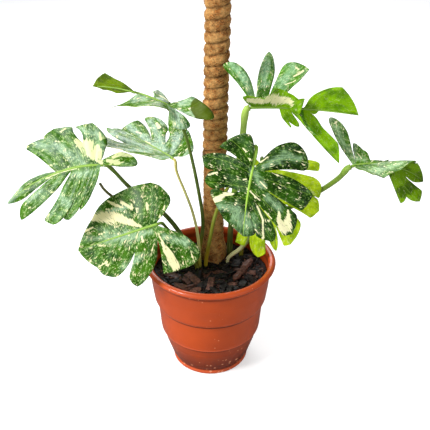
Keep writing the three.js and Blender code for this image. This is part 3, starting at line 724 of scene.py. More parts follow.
@dataclass(frozen=True)
class FibreFinish(Finish):
    """Coconut fibre: brown with pale and dark hairs, matt, with painted shade between the rope
    turns.
    """

    dark: Colour = srgb(44, 22, 4)
    body: Colour = srgb(172, 106, 48)
    pale: Colour = srgb(244, 196, 124)

    def material(self, name: str, effects: Effects) -> bpy.types.Material:
        """The coir's material; its attribute crest is 1 on the ropes and 0 between them, where shade
        is painted.

        Args:
            name: The material's name.
            effects: The masks that the finishes share.

        Returns:
            The material.
        """
        material, wires, shader = self.open(name, Roughness=0.92, Specular_IOR_Level=0.15)
        place = wires.place()
        cloud = self.use(wires, effects.mottle, Vector=place, Scale=90.0)
        broad = self.use(wires, effects.mottle, Vector=place, Scale=26.0)
        hair = wires.noise(place, 380.0, 3.0)
        colour = wires.mix(wires.times(wires.ramp(hair, 0.38, 0.62), 0.7), self.body, self.dark)
        colour = wires.mix(wires.times(cloud, 0.5), colour, self.pale)
        colour = wires.mix(wires.times(wires.value("tone"), 0.8), colour, self.pale)
        colour = wires.mix(wires.times(broad, 0.3), colour, self.dark)
        # Painted shade in the grooves between the rope turns, where crest is low.
        deep = wires.times(wires.ramp(wires.value("crest"), 0.0, 0.5, 1.0, 0.0), 0.65)
        wires.link(wires.mix(deep, colour, self.dark), shader["Base Color"])
        self.bump(wires, shader, hair, 0.8, 0.0015)
        return material


@dataclass(frozen=True)
class BarkFinish(Finish):
    """Damp bark and mix: nearly black with reddish brown chips and scattered painted grey
    highlights.
    """

    black: Colour = srgb(6, 4, 4)
    brown: Colour = srgb(120, 72, 54)
    # Colour of the painted highlights.
    grey: Colour = srgb(118, 108, 104)

    def material(self, name: str, effects: Effects) -> bpy.types.Material:
        """The bark's material; its attribute tone is high on the brown chips.

        Args:
            name: The material's name.
            effects: The masks that the finishes share.

        Returns:
            The material.
        """
        material, wires, shader = self.open(name, Specular_IOR_Level=0.3)
        place = wires.place()
        cloud = self.use(wires, effects.mottle, Vector=place, Scale=70.0)
        fine = self.use(wires, effects.mottle, Vector=place, Scale=260.0)
        share = wires.times(wires.ramp(wires.value("tone"), 0.45, 1.0), 0.75)
        share = wires.times(share, wires.ramp(fine, 0.0, 1.0, 0.45, 1.0))
        colour = wires.mix(share, self.black, self.brown)
        # Painted highlights: grey glints spread by noise.
        grey_glints = wires.times(cloud, wires.times(fine, 0.22))
        wires.link(wires.mix(grey_glints, colour, self.grey), shader["Base Color"])
        wires.link(wires.ramp(cloud, 0.0, 1.0, 0.45, 0.85), shader["Roughness"])
        self.bump(wires, shader, wires.noise(place, 300.0, 4.0), 0.8, 0.0014)
        return material


@dataclass(frozen=True)
class WoodFinish(Finish):
    """Plain sawn stake end."""

    pale: Colour = srgb(188, 156, 112)
    dark: Colour = srgb(132, 98, 62)

    def material(self, name: str, effects: Effects) -> bpy.types.Material:
        """The stake's material.

        Args:
            name: The material's name.
            effects: The masks that the finishes share.

        Returns:
            The material.
        """
        material, wires, shader = self.open(name, Roughness=0.8)
        place = wires.place()
        rings = wires.node(
            "ShaderNodeTexWave", {"Vector": place, "Scale": 180.0, "Distortion": 3.0},
            wave_type="RINGS", rings_direction="Z",
        )
        cloud = self.use(wires, effects.mottle, Vector=place, Scale=120.0)
        colour = wires.mix(wires.times(rings.outputs[1], 0.6), self.pale, self.dark)
        wires.link(wires.mix(wires.times(cloud, 0.4), colour, self.dark), shader["Base Color"])
        self.bump(wires, shader, cloud, 0.4, 0.0005)
        return material


# Meshes


def mesh_object(
    name: str,
    points: Sequence[Any],
    faces: Sequence[Sequence[int]],
    materials: Sequence[bpy.types.Material] = (),
    smooth: bool = True,
) -> bpy.types.Object:
    """Makes an object from points in millimetres.

    Args:
        name: The object's name.
        points: Vertex positions in millimetres.
        faces: Corner indices.
        materials: Materials for its slots.
        smooth: True for smooth shading.

    Returns:
        The object, linked to the scene.
    """
    mesh = bpy.data.meshes.new(name)
    mesh.from_pydata([tuple(float(c) * MM for c in p) for p in points], [], faces)
    mesh.polygons.foreach_set("use_smooth", [smooth] * len(mesh.polygons))
    for material in materials:
        mesh.materials.append(material)
    return scene_object(name, mesh)


def scene_object(name: str, data: Any) -> bpy.types.Object:
    """A new object that holds the data, linked to the scene.

    Args:
        name: The object's name.
        data: The mesh, camera or light that it holds.

    Returns:
        The object.
    """
    made = bpy.data.objects.new(name, data)
    bpy.context.scene.collection.objects.link(made)
    return made


def set_values(piece: bpy.types.Object, name: str, values: Sequence[float]) -> None:
    """Gives each point of a piece a value of a float attribute."""
    made = piece.data.attributes.new(name, "FLOAT", "POINT")
    made.data.foreach_set("value", np.asarray(values, np.float32))


def set_map(piece: bpy.types.Object, name: str, corners: np.ndarray) -> None:
    """Gives each face corner of a piece its place on a UV map."""
    layer = piece.data.uv_layers.new(name=name)
    layer.data.foreach_set("uv", corners.astype(np.float32).ravel())


def place_piece(piece: bpy.types.Object, slot: str, *nodes: str) -> None:
    """Rides a finished piece on the plant's one body, in place of the named solids.

    Args:
        piece: The finished piece.
        slot: The name of its material slot; not used.
        nodes: The solids that it stands in for.
    """
    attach(piece, "root")
    if nodes:
        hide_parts(*nodes)
    LOG.info("%s: %d faces", piece.name, len(piece.data.polygons))


def plain_mesh(piece: bpy.types.Object) -> None:
    """Turns a piece and its modifiers into one plain mesh.

    Args:
        piece: The piece to bake.
    """
    graph = bpy.context.evaluated_depsgraph_get()
    graph.update()
    baked = bpy.data.meshes.new_from_object(piece.evaluated_get(graph))
    baked.name = piece.name
    piece.modifiers.clear()
    piece.data = baked


def circle(radius: float, z: float, count: int, centre: Pair = (0.0, 0.0)) -> list[Size]:
    """Evenly spaced points of a level circle.

    Args:
        radius: The circle's radius.
        z: The height in millimetres.
        count: How many points it has.
        centre: The circle's middle.

    Returns:
        The points.
    """
    x, y = centre
    turns = [2 * math.pi * k / count for k in range(count)]
    return [(x + radius * math.cos(turn), y + radius * math.sin(turn), z) for turn in turns]


def ring_faces(rings: int, sides: int, first: int = 0, closed: bool = False) -> list[list[int]]:
    """Quads between neighbouring rings of points.

    Args:
        rings: How many rings there are.
        sides: Points in each ring.
        first: Index of the first ring's first point.
        closed: True to join the last ring to the first.

    Returns:
        The quads, ring by ring.
    """
    faces = []
    for ring in range(rings if closed else rings - 1):
        low = first + ring * sides
        high = first + (ring + 1) % rings * sides
        for side in range(sides):
            after = (side + 1) % sides
            faces.append([low + side, low + after, high + after, high + side])
    return faces


def capped_faces(rings: int, sides: int) -> list[list[int]]:
    """Quads between rings of points, and a cap on each end."""
    caps = [list(range(sides))[::-1], [(rings - 1) * sides + side for side in range(sides)]]
    return ring_faces(rings, sides) + caps


def tube(
    centres: np.ndarray, radii: np.ndarray, sides: int
) -> tuple[list[Any], list[list[int]]]:
    """Closed tube along points, with frames carried along without twist.

    Args:
        centres: Middle points, one for each ring.
        radii: Radius at each ring.
        sides: Corners of each ring.

    Returns:
        Points, ring by ring, and faces.
    """
    tangents = np.gradient(centres, axis=0)
    tangents /= np.linalg.norm(tangents, axis=1)[:, None]
    normal = np.cross(tangents[0], [0.0, 0.3, 1.0])
    if np.linalg.norm(normal) < 0.3:
        normal = np.cross(tangents[0], [1.0, 0.0, 0.0])
    points: list[Any] = []
    for centre, tangent, radius in zip(centres, tangents, radii):
        normal = normal - tangent * np.dot(normal, tangent)
        normal /= np.linalg.norm(normal)
        beside = np.cross(tangent, normal)
        for side in range(sides):
            turn = 2 * math.pi * side / sides
            points.append(centre + (math.cos(turn) * normal + math.sin(turn) * beside) * radius)
    return points, capped_faces(len(centres), sides)


# The blades


class Side(Enum):
    """The two halves of a blade, seen from its stem."""

    RIGHT = 1
    LEFT = -1


@dataclass(frozen=True)
class Lobe:
    """One side lobe, by its vein, and how it parts from the next lobe towards the tip.

    Angles are degrees: angle from the midrib, rise and droop out of the blade, bend along the
    vein. Split, ease and holes are places along the vein from 0 to 1, and gap is the share of
    the valley that the two lobes leave open.
    """

    angle: float
    length: float
    rise: float = 0.0
    droop: float = 0.0
    split: float = 1.0
    gap: Pair = (0.0, 0.0)
    ease: Pair = (0.86, 0.7)
    bend: float = 14.0
    holes: tuple[Size, ...] = ()


@dataclass(frozen=True)
class LeafSpec:
    """Shape of one leaf, with its base, its direction, and its lobes.

    Pose is azimuth, pitch and roll. Roots are the places of the side veins along the midrib.
    """

    name: str
    base: Size
    pose: Size
    length: float
    roots: tuple[float, ...]
    tip_from: float
    back: Pair
    right: tuple[Lobe, ...]
    left: tuple[Lobe, ...]
    finish: BladeFinish
    arch: float = 0.0
    sweep: float = 0.0
    twist: float = 0.0
    fold: float = 0.0
    bulge: float = 0.07
    drop: float = 1.4
    aside: float = 0.0
    blunt: float = 0.3


@dataclass
class Strip:
    """One side of one vein: a grid of points with its flat plan and its vein measures."""

    points: np.ndarray
    plan: np.ndarray
    vein: np.ndarray
    flipped: bool


class BladeSurface:
    """The curved surface of one blade, laid out from its midrib and side veins."""

    steps = 48
    vein_steps = 120
    rows = 26
    columns = 5
    crowding = 1.35
    quilt = 0.075
    quilt_width = 24.0
    wave = 0.085
    wave_width = 22.0
    wave_turns = 9.5
    vein_shift = 37.0
    side_shift = 311.0

    def __init__(self, spec: LeafSpec) -> None:
        """Lays out the midrib.

        Args:
            spec: The leaf's shape.
        """
        self.spec = spec
        self.places = 1 - (1 - np.linspace(0, 1, self.rows + 1)) ** self.crowding
        self.base = np.array(spec.base, float)
        azimuth, pitch, roll = (math.radians(a) for a in spec.pose)
        self.forward = np.array([
            math.cos(pitch) * math.cos(azimuth),
            math.cos(pitch) * math.sin(azimuth),
            math.sin(pitch),
        ])
        level = np.array([math.sin(azimuth), -math.cos(azimuth), 0.0])
        upward = np.cross(level, self.forward)
        self.sideways = math.cos(roll) * level - math.sin(roll) * upward
        self.normal = np.cross(self.sideways, self.forward)
        points = [self.base]
        for step in range(self.steps):
            tangent = self.axes_at((step + 0.5) / self.steps)[0]
            points.append(points[-1] + tangent * spec.length / self.steps)
        self.midrib = np.array(points)

    def axes_at(self, u: float) -> tuple[np.ndarray, np.ndarray, np.ndarray]:
        """Tangent, side and normal of the midrib at a fraction of its length.

        Args:
            u: Fraction of the midrib's length.

        Returns:
            The three unit vectors.
        """
        arch, sweep, twist = (
            math.radians(a * u) for a in (self.spec.arch, self.spec.sweep, self.spec.twist)
        )
        ahead = math.cos(sweep) * self.forward + math.sin(sweep) * self.sideways
        side = math.cos(sweep) * self.sideways - math.sin(sweep) * self.forward
        tangent = math.cos(arch) * ahead - math.sin(arch) * self.normal
        normal = np.cross(side, tangent)
        return (
            tangent,
            math.cos(twist) * side - math.sin(twist) * normal,
            math.cos(twist) * normal + math.sin(twist) * side,
        )

    def midrib_at(self, u: np.ndarray) -> np.ndarray:
        """Midrib points at fractions of its length."""
        grid = np.linspace(0, 1, self.steps + 1)
        return np.stack([np.interp(u, grid, self.midrib[:, k]) for k in range(3)], -1)

    def _directions(
        self, side: Side, root: float, lobe: Lobe, t: np.ndarray
    ) -> dict[str, np.ndarray]:
        """A side vein's angle on the plan and its axes in space at places along it.

        Args:
            side: The half of the blade.
            root: Place of the vein's root along the midrib.
            lobe: The lobe that the vein runs through.
            t: Places along the vein from 0 to 1.

        Returns:
            The angle, and unit vectors along, beside and up, at each place.
        """
        tangent, across, normal = self.axes_at(root)
        lift = math.radians(self.spec.fold + lobe.rise)
        lateral = side.value * math.cos(lift) * across + math.sin(lift) * normal
        face = -side.value * math.sin(lift) * across + math.cos(lift) * normal
        angle = np.radians(lobe.angle + lobe.bend * (0.5 - t))
        cos, sin = np.cos(angle)[:, None], np.sin(angle)[:, None]
        fall = np.radians(lobe.droop * t)[:, None]
        flat = cos * tangent + sin * lateral
        return {
            "angle": angle,
            "along": np.cos(fall) * flat - np.sin(fall) * face,
            "beside": -sin * tangent + cos * lateral,
            "up": np.cos(fall) * face + np.sin(fall) * flat,
        }

    def vein(self, side: Side, root: float, lobe: Lobe) -> dict[str, np.ndarray]:
        """One side vein with its points, flat plan and axes at each place.

        Args:
            side: The half of the blade.
            root: Place of the vein's root along the midrib.
            lobe: The lobe that the vein runs through.

        Returns:
            Its points, plan, angle and unit vectors at each place.
        """
        fine = np.linspace(0, 1, self.vein_steps + 1)
        middles = self._directions(side, root, lobe, (fine[1:] + fine[:-1]) / 2)
        stride = lobe.length / self.vein_steps
        origin = self.midrib_at(np.array([root]))
        path = np.vstack([origin, origin + np.cumsum(middles["along"] * stride, axis=0)])
        angle = middles["angle"]
        turn = np.stack([np.cos(angle), np.sin(angle)], -1) * stride
        flat_path = np.vstack([[0, 0], np.cumsum(turn, axis=0)]) + [root * self.spec.length, 0]
        return {
            "points": np.stack([np.interp(self.places, fine, path[:, k]) for k in range(3)], -1),
            "plan": np.stack([np.interp(self.places, fine, flat_path[:, k]) for k in (0, 1)], -1),
            **self._directions(side, root, lobe, self.places),
        }

    def end_vein(self) -> dict[str, np.ndarray]:
        """The midrib's own end, treated as the vein of the last lobe.

        Returns:
            Its points, plan and normals at each place.
        """
        u = self.spec.tip_from + (1 - self.spec.tip_from) * self.places
        normals = np.array([self.axes_at(float(v))[2] for v in u])
        plan = np.stack([u * self.spec.length, np.zeros_like(u)], -1)
        return {"points": self.midrib_at(u), "plan": plan, "up": normals}

    def fill(self, lobe: Optional[Lobe], gap: float, is_end: bool, fore: bool) -> np.ndarray:
        """Share of the way from a vein to the valley that a lobe fills at each place.

        Args:
            lobe: The lobe beside the valley, or None at the free back margin.
            gap: Share of the valley left open on this side.
            is_end: True for the blade's tip.
            fore: True on the side of the vein towards the tip.

        Returns:
            The share at each place.
        """
        t = self.places
        split = 0.0 if lobe is None else lobe.split
        share = np.ones_like(t)
        if split < 1:
            parted = np.clip((t - split) / (1 - split), 0, 1)
            share = 1 - gap * parted**0.7
            start = lobe.ease[0 if fore else 1] if lobe else 0.7
            start = self.spec.blunt if is_end else start
            y = np.clip((t - start) / (1 - start), 0, 1)
            share = share * ((1 - y**2.2) ** 0.8 if is_end else np.sqrt(1 - y * y))
        for low, high, width in lobe.holes if lobe else ():
            inside = np.clip((t - low) / (high - low), 0, 1)
            share = share * (1 - width * np.sin(math.pi * inside) ** 0.6)
        return share

    def strips(self) -> list[Strip]:
        """Grids of points for both sides of every vein.

        Returns:
            The grids, from the stem to the tip, first of the right half.
        """
        made = []
        for side, lobes, wrap in (
            (Side.RIGHT, self.spec.right, self.spec.back[0]),
            (Side.LEFT, self.spec.left, self.spec.back[1]),
        ):
            veins = [self.vein(side, self.spec.roots[i], s) for i, s in enumerate(lobes)]
            veins.append(self.end_vein())
            valleys = []
            for i, lobe in enumerate(lobes):
                point = (veins[i]["points"] + veins[i + 1]["points"]) / 2
                plan = (veins[i]["plan"] + veins[i + 1]["plan"]) / 2
                if lobe.split >= 1:
                    push = (self.spec.bulge * self.places**3)[:, None]
                    point = point + (point[-1] - point[0]) * push
                    plan = plan + (plan[-1] - plan[0]) * push
                valleys.append((point, plan))
            for i, vein in enumerate(veins):
                for fore in (False, True):
                    if fore and i == len(lobes):
                        continue
                    made.append(self._strip(side, lobes, wrap, veins, valleys, i, fore))
        return made

    def _strip(
        self, side: Side, lobes: tuple[Lobe, ...], wrap: float, veins: list[Any],
        valleys: list[Any], i: int, fore: bool,
    ) -> Strip:
        """The grid of one side of one vein.

        Args:
            side: The half of the blade.
            lobes: The half's lobes, from the stem to the tip.
            wrap: How far the back margin wraps round the stem.
            veins: The half's veins, with the midrib's end as the last.
            valleys: Points and plan of the valley after each lobe.
            i: Which vein it is.
            fore: True on the side of the vein towards the tip.

        Returns:
            The strip.
        """
        vein = veins[i]
        t = self.places
        is_end, is_free = i == len(lobes), i == 0 and not fore
        parting = None if is_free else lobes[i if fore else i - 1]
        gap = 0.0 if is_free else parting.gap[0 if fore else 1]
        split = 0.0 if is_free else parting.split
        if is_free:
            spread = wrap * np.sin(np.clip(t / 0.5, 0, 1) * math.pi / 2)[:, None]
            plan = vein["plan"] - spread * (valleys[0][1] - vein["plan"])
        else:
            target, plan = valleys[i if fore else i - 1]
        if not is_end:
            offset = plan - vein["plan"]
            cos, sin = np.cos(vein["angle"]), np.sin(vein["angle"])
            ahead = offset[:, 0] * cos + offset[:, 1] * sin
            beside = offset[:, 1] * cos - offset[:, 0] * sin
            own = vein["points"] + vein["along"] * ahead[:, None]
            own = own + vein["beside"] * beside[:, None]
            if is_free:
                target = own
            elif split < 1:
                part = smoothstep(split, split + 0.3, t)[:, None]
                target = target + (own - target) * part
        share = self.fill(parting, gap, is_end, fore)
        steps = np.linspace(0, 1, self.columns + 1)
        reach = (target - vein["points"]) * share[:, None]
        points = vein["points"][:, None] + reach[:, None] * steps[None, :, None]
        flat = (plan - vein["plan"]) * share[:, None]
        plans = vein["plan"][:, None] + flat[:, None] * steps[None, :, None]
        width = np.linalg.norm(reach, axis=1)
        points = points + self._relief(vein["up"], width, steps, t, split, side, i, fore)
        length = np.linalg.norm(np.diff(vein["points"], axis=0), axis=1)
        gone = np.concatenate([[0.0], np.cumsum(length)])
        sign = 1.0 if fore else -1.0
        measures = np.stack([
            np.broadcast_to(gone[:, None], (len(t), len(steps))),
            sign * width[:, None] * steps[None, :],
        ], -1)
        shift = self.vein_shift * i + (0.0 if side is Side.RIGHT else self.side_shift)
        measures = measures + [shift, 0.0]
        flipped = fore != (side is Side.RIGHT)
        plans = plans * [1.0, side.value]
        return Strip(points, plans, measures, flipped)

    def _relief(
        self, up: np.ndarray, width: np.ndarray, steps: np.ndarray, t: np.ndarray, split: float,
        side: Side, i: int, fore: bool,
    ) -> np.ndarray:
        """Quilting between the veins and a slow wave along free margins, in millimetres.

        Args:
            up: The vein's normals.
            width: Width of the strip at each place.
            steps: Fractions of the way across the strip.
            t: Places along the vein from 0 to 1.
            split: Place where the lobe parts from its neighbour.
            side: The half of the blade.
            i: Which vein it is.
            fore: True on the side of the vein towards the tip.

        Returns:
            The shift of each point.
        """
        quilt = np.sin(math.pi * steps)[None, :] * np.minimum(width, self.quilt_width)[:, None]
        quilt = quilt * self.quilt * smoothstep(0.0, 0.2, t)[:, None]
        phase = 1.7 * i + (0.6 if side is Side.RIGHT else 2.1) + (0.0 if fore else 1.1)
        free = smoothstep(split, min(split + 0.35, 0.999), t) if split < 1 else 0 * t
        wave = np.sin(self.wave_turns * t + phase) * free * np.minimum(width, self.wave_width)
        wave = wave * self.wave
        lift = quilt + wave[:, None] * (steps**3)[None, :]
        return up[:, None] * lift[:, :, None]


class Leaf:
    """One blade with its midrib, as a closed mesh with upper and lower faces."""

    thickness = 1.0
    weld = 50
    rib_end = 0.94
    rib_rings = 30
    rib_sides = 10
    rib_radius = 2.5
    rib_tip = 0.45
    neck_back = 4.0
    neck_gap = 0.5
    knee_back = 5.0
    knee_under = 1.5

    def __init__(self, spec: LeafSpec, effects: Effects) -> None:
        """Keeps the spec and makes the finishes.

        Args:
            spec: The leaf's shape.
            effects: The masks that the finishes share.
        """
        self.spec = spec
        self.surface = BladeSurface(spec)
        finish = spec.finish
        rib = StemFinish(finish.rib, finish.rib, finish.lime)
        self.materials = [
            finish.top(f"{spec.name} top", effects),
            finish.under(f"{spec.name} under", effects),
            rib.material(f"{spec.name} rib", effects),
        ]

    def build(self) -> bpy.types.Object:
        """The leaf's object, with its plan and vein maps.

        Returns:
            The object.
        """
        points, plans, veins, quads = [], [], [], []
        start = 0
        for strip in self.surface.strips():
            rows, columns = strip.points.shape[:2]
            points.append(strip.points.reshape(-1, 3))
            plans.append(strip.plan.reshape(-1, 2))
            veins.append(strip.vein.reshape(-1, 2))
            grid = start + np.arange(rows * columns).reshape(rows, columns)
            cells = np.stack(
                [grid[:-1, :-1], grid[1:, :-1], grid[1:, 1:], grid[:-1, 1:]], -1
            ).reshape(-1, 4)
            quads.append(cells[:, ::-1] if strip.flipped else cells)
            start += rows * columns
        loose = np.concatenate(points)
        corners = np.concatenate([np.concatenate(plans), np.concatenate(veins)], axis=1) / 10
        _, first, welded = np.unique(
            np.round(loose * self.weld).astype(int), axis=0, return_index=True, return_inverse=True
        )
        welded = welded.reshape(-1)
        shell = loose[first]
        faces, sources = [], []
        for quad in np.concatenate(quads):
            kept = [k for k in range(4) if welded[quad[k]] != welded[quad[k - 1]]]
            ids = [int(welded[quad[k]]) for k in kept]
            if len(set(ids)) >= 3 and len(set(ids)) == len(ids):
                faces.append(ids)
                sources.append([int(quad[k]) for k in kept])
        return self._solid(shell, faces, sources, corners)

    def _solid(
        self, shell: np.ndarray, faces: list[list[int]], sources: list[list[int]],
        corners: np.ndarray,
    ) -> bpy.types.Object:
        """Thickens the open surface, closes its edges and adds the midrib.

        Args:
            shell: Points of the open surface.
            faces: Its faces.
            sources: For each face corner, its row in corners.
            corners: Plan and vein measures in centimetres.

        Returns:
            The object.
        """
        normals = np.zeros_like(shell)
        edges: dict[tuple[int, int], tuple[int, int]] = {}
        for face, source in zip(faces, sources):
            spread = shell[face]
            normal = np.cross(spread[1] - spread[0], spread[2] - spread[0])
            if len(face) == 4:
                normal = normal + np.cross(spread[2] - spread[0], spread[3] - spread[0])
            normals[face] += normal
            for k in range(len(face)):
                pair = (face[k], face[(k + 1) % len(face)])
                if (pair[1], pair[0]) in edges:
                    del edges[(pair[1], pair[0])]
                else:
                    edges[pair] = (source[k], source[(k + 1) % len(face)])
        normals /= np.maximum(np.linalg.norm(normals, axis=1), 1e-9)[:, None]
        half = normals * self.thickness / 2
        points = list(shell + half) + list(shell - half)
        under = len(shell)
        solid = [list(face) for face in faces]
        origin = [list(source) for source in sources]
        slots = [0] * len(solid)
        for face, source in zip(faces, sources):
            solid.append([corner + under for corner in face[::-1]])
            origin.append(source[::-1])
            slots.append(1)
        for (a, b), (from_a, from_b) in edges.items():
            solid.append([a, a + under, b + under, b])
            origin.append([from_a, from_a, from_b, from_b])
            slots.append(1)
        rib_points, rib_faces = self._midrib()
        offset = len(points)
        for face in rib_faces:
            solid.append([corner + offset for corner in face])
            origin.append([0] * len(face))
            slots.append(2)
        made = mesh_object(self.spec.name, points + rib_points, solid, self.materials)
        made.data.polygons.foreach_set("material_index", slots)
        order = np.concatenate([np.array(o) for o in origin])
        set_map(made, "plan", corners[order, :2])
        set_map(made, "vein", corners[order, 2:])
        return made

    def _midrib(self) -> tuple[list[Any], list[list[int]]]:
        """Raised midrib under the blade, from its neck to near the tip.

        Returns:
            Its points and faces.
        """
        u = np.linspace(0.0, self.rib_end, self.rib_rings)
        line = self.surface.midrib_at(u)
        for k, place in enumerate(u):
            line[k] -= self.surface.axes_at(float(place))[2] * (1.0 - 0.9 * place)
        neck = self.neck()
        blend = smoothstep(0.0, 0.1, u)[:, None]
        line = neck + (line - neck) * np.maximum(blend, u[:, None] * 6).clip(0, 1)
        radii = self.rib_radius * (1 - u) ** 0.8 + self.rib_tip
        return tube(line, radii, self.rib_sides)

    def neck(self) -> np.ndarray:
        """Where the midrib starts, just behind the notch of the blade.

        Returns:
            The point in millimetres.
        """
        tangent, side, normal = self.surface.axes_at(0.0)
        point = self.surface.base - self.neck_back * tangent - self.spec.drop * normal
        return point + self.spec.aside * side

    def stem_ends(self) -> list[np.ndarray]:
        """The last points of the leaf's stem: a knee below the blade and the end at its neck.

        Returns:
            The knee and the end.
        """
        tangent, _, normal = self.surface.axes_at(0.0)
        end = self.neck() - self.neck_gap * tangent
        return [end - self.knee_back * tangent - self.knee_under * normal, end]


FRONT_LEFT = LeafSpec(
    name="leaf_front_left",
    base=(-100, -60, 348), pose=(182, -19, -56), length=161,
    arch=12,
    roots=(0, 0.08, 0.3, 0.5), tip_from=0.68, back=(0.7, 0.75),
    right=(
        Lobe(126, 62, droop=20, bend=10),
        Lobe(107, 83, droop=15, bend=16),
        Lobe(72, 80, droop=12, bend=8),
        Lobe(54, 60, droop=8, bend=17),
    ),
    left=(
        Lobe(109, 101, droop=20, split=0.3, gap=(0.03, 0.41), ease=(0.95, 0.53), bend=48),
        Lobe(60, 115, droop=15, split=0.42, gap=(0.15, 0.29), ease=(0.82, 0.51), bend=17),
        Lobe(47, 93, droop=12, bend=18),
        Lobe(39, 68, droop=8, bend=7),
    ),
    finish=BladeFinish(
        deep=srgb(20, 62, 0), fresh=srgb(64, 110, 8), dew=srgb(160, 194, 112),
        silver_and_glare=srgb(164, 194, 162), cream=srgb(232, 222, 172),
        marble=0.12, rib_share=0.5, flecks=0.3, dashes=0.25,
        creams=(
            ((110, 49, 18), (69, 35, 20), (42, 16, 10), (26, 4, 2.4)),
            ((-1, -18, 3), (-3, -41, 6), (-7, -61, 14), (-11, -84, 16)),
            ((77, 70, 3.2), (63, 57, 5.6), (51, 49, 2)),
            ((51, 59, 4), (35, 43, 5.2)),
            ((5, 43, 3.2), (6, 31, 4.8)),
            ((136, 30, 5), (119, 31, 4)),
            ((31, -13, 2.4), (31, -23, 4)),
            ((110, -38, 2.8), (130, -42, 2)),
        ),
        # Painted glare strokes.
        glare_strokes=(
            ((13, -10, 12), (55, -5, 32), (101, 6, 26)),
            ((42, -46, 12), (77, -58, 20)),
            ((-9, -26, 12), (-43, -47, 18)),
            ((80, 50, 10), (40, 48, 10)),
        ),
    ),
)

LEFT = LeafSpec(
    name="leaf_left",
    base=(-195, -30, 454), pose=(173, -4, -52), length=194,
    arch=7, sweep=-42, drop=4, blunt=0.55,
    roots=(0, 0.071, 0.194, 0.353), tip_from=0.494, back=(0.5, 0.6),
    right=(
        Lobe(163, 61, droop=25, split=0.19, gap=(0.63, 0.24), ease=(0.73, 0.79), bend=29),
        Lobe(
            88, 80, droop=5, split=0.9, gap=(0, 0), ease=(0.95, 0.95), bend=34,
            holes=((0.56, 0.97, 0.22),),
        ),
        Lobe(60, 93, droop=5, split=0.95, gap=(0, 0.1), ease=(0.92, 0.89), bend=38),
        Lobe(47, 94, droop=8, split=0.05, gap=(0.84, 0.78), ease=(0.95, 0.7), bend=44),
    ),
    left=(
        Lobe(66, 88, droop=10, split=0.42, gap=(0.35, 0.1), ease=(0.7, 0.9), bend=16),
        Lobe(63, 108, droop=10, split=0.25, gap=(0.23, 0.26), ease=(0.9, 0.84), bend=19),
        Lobe(56, 117, droop=10, split=0.05, gap=(0.48, 0.73), ease=(0.95, 0.3), bend=28),
        Lobe(32, 122, droop=10, split=0.07, gap=(0.41, 0.25), ease=(0.8, 0.7), bend=8),
    ),
    finish=BladeFinish(
        deep=srgb(24, 68, 0), fresh=srgb(70, 118, 8), dew=srgb(164, 196, 120),
        silver_and_glare=srgb(170, 198, 176), cream=srgb(210, 216, 158),
        marble=0.3, painted_glare=0.6, rib_share=0.45, flecks=0.28, dashes=0.22,
        creams=(
            ((-2, 2, 5), (14, 19, 18), (26, 37, 24), (39, 47, 12)),
            ((-1, 2, 5), (2, 22, 10), (6, 35, 6)),
            ((-12, 7, 5), (-30, 4, 10)),
            ((-22, 14, 7), (-35, 19, 9), (-54, 19, 5)),
            ((62, 75, 3), (70, 71, 4)),
            ((2, 59, 3), (-1, 47, 6)),
            ((46, -2, 2.4), (72, -2, 2.4), (106, -3, 2)),
        ),
        # Painted glare strokes.
        glare_strokes=(
            ((116, 68, 18), (67, 38, 18), (30, 3, 12)),
            ((36, 68, 20), (4, 55, 20)),
            ((81, -46, 16), (64, -68, 18)),
            ((120, -24, 14), (147, -34, 14)),
            ((159, 3, 12), (190, -1, 12)),
            ((48, -14, 16), (20, -14, 16)),
        ),
    ),
)

UPPER_LEFT = LeafSpec(
    name="leaf_upper_left",
    base=(-69, -30, 564), pose=(162, 23, 1), length=146,
    arch=30, twist=75, drop=4, aside=4.5,
    roots=(0, 0.1, 0.25, 0.5), tip_from=0.62, back=(1.15, 1.18),
    right=(
        Lobe(144, 56, rise=58, droop=-12, split=0.05, gap=(0.6, 0.17), ease=(0.94, 0.38), bend=56),
        Lobe(60, 49, rise=-5, droop=-15, split=0.32, gap=(0.15, 0.17), ease=(0.77, 0.44), bend=-3),
        Lobe(41, 27, rise=-56, droop=10, split=0.06, gap=(0.24, 0.33), ease=(0.71, 0.79), bend=20),
        Lobe(38, 45, rise=4, droop=14, bend=21),
    ),
    left=(
        Lobe(138, 42, rise=-74, droop=-1, split=0.49, gap=(0.08, 0.15), ease=(0.95, 0.78), bend=50),
        Lobe(98, 40, rise=2, droop=-5, bend=9),
        Lobe(35, 64, rise=-44, droop=27, split=0.05, gap=(0.32, 0.27), ease=(0.95, 0.72), bend=39),
        Lobe(57, 61, rise=2, droop=-5, bend=1),
    ),
    finish=BladeFinish(
        silver_and_glare=srgb(194, 220, 200), lime=srgb(118, 148, 0), olive=srgb(78, 104, 0),
        marble=0.6, flecks=0.28, dashes=0.22,
        creams=(
            ((29, 25, 4), (8, 17, 4)),
        ),
        # Painted glare strokes.
        glare_strokes=(
            ((111, 11, 10), (80, -7, 10)),
            ((57, -18, 16), (18, 20, 16)),
            ((-18, -3, 20), (-30, -25, 20)),
            ((-15, 12, 12), (-37, 31, 12)),
        ),
        folds=(
            ((-47, 23, 34), (-59, 15, 32)),
        ),
    ),
)

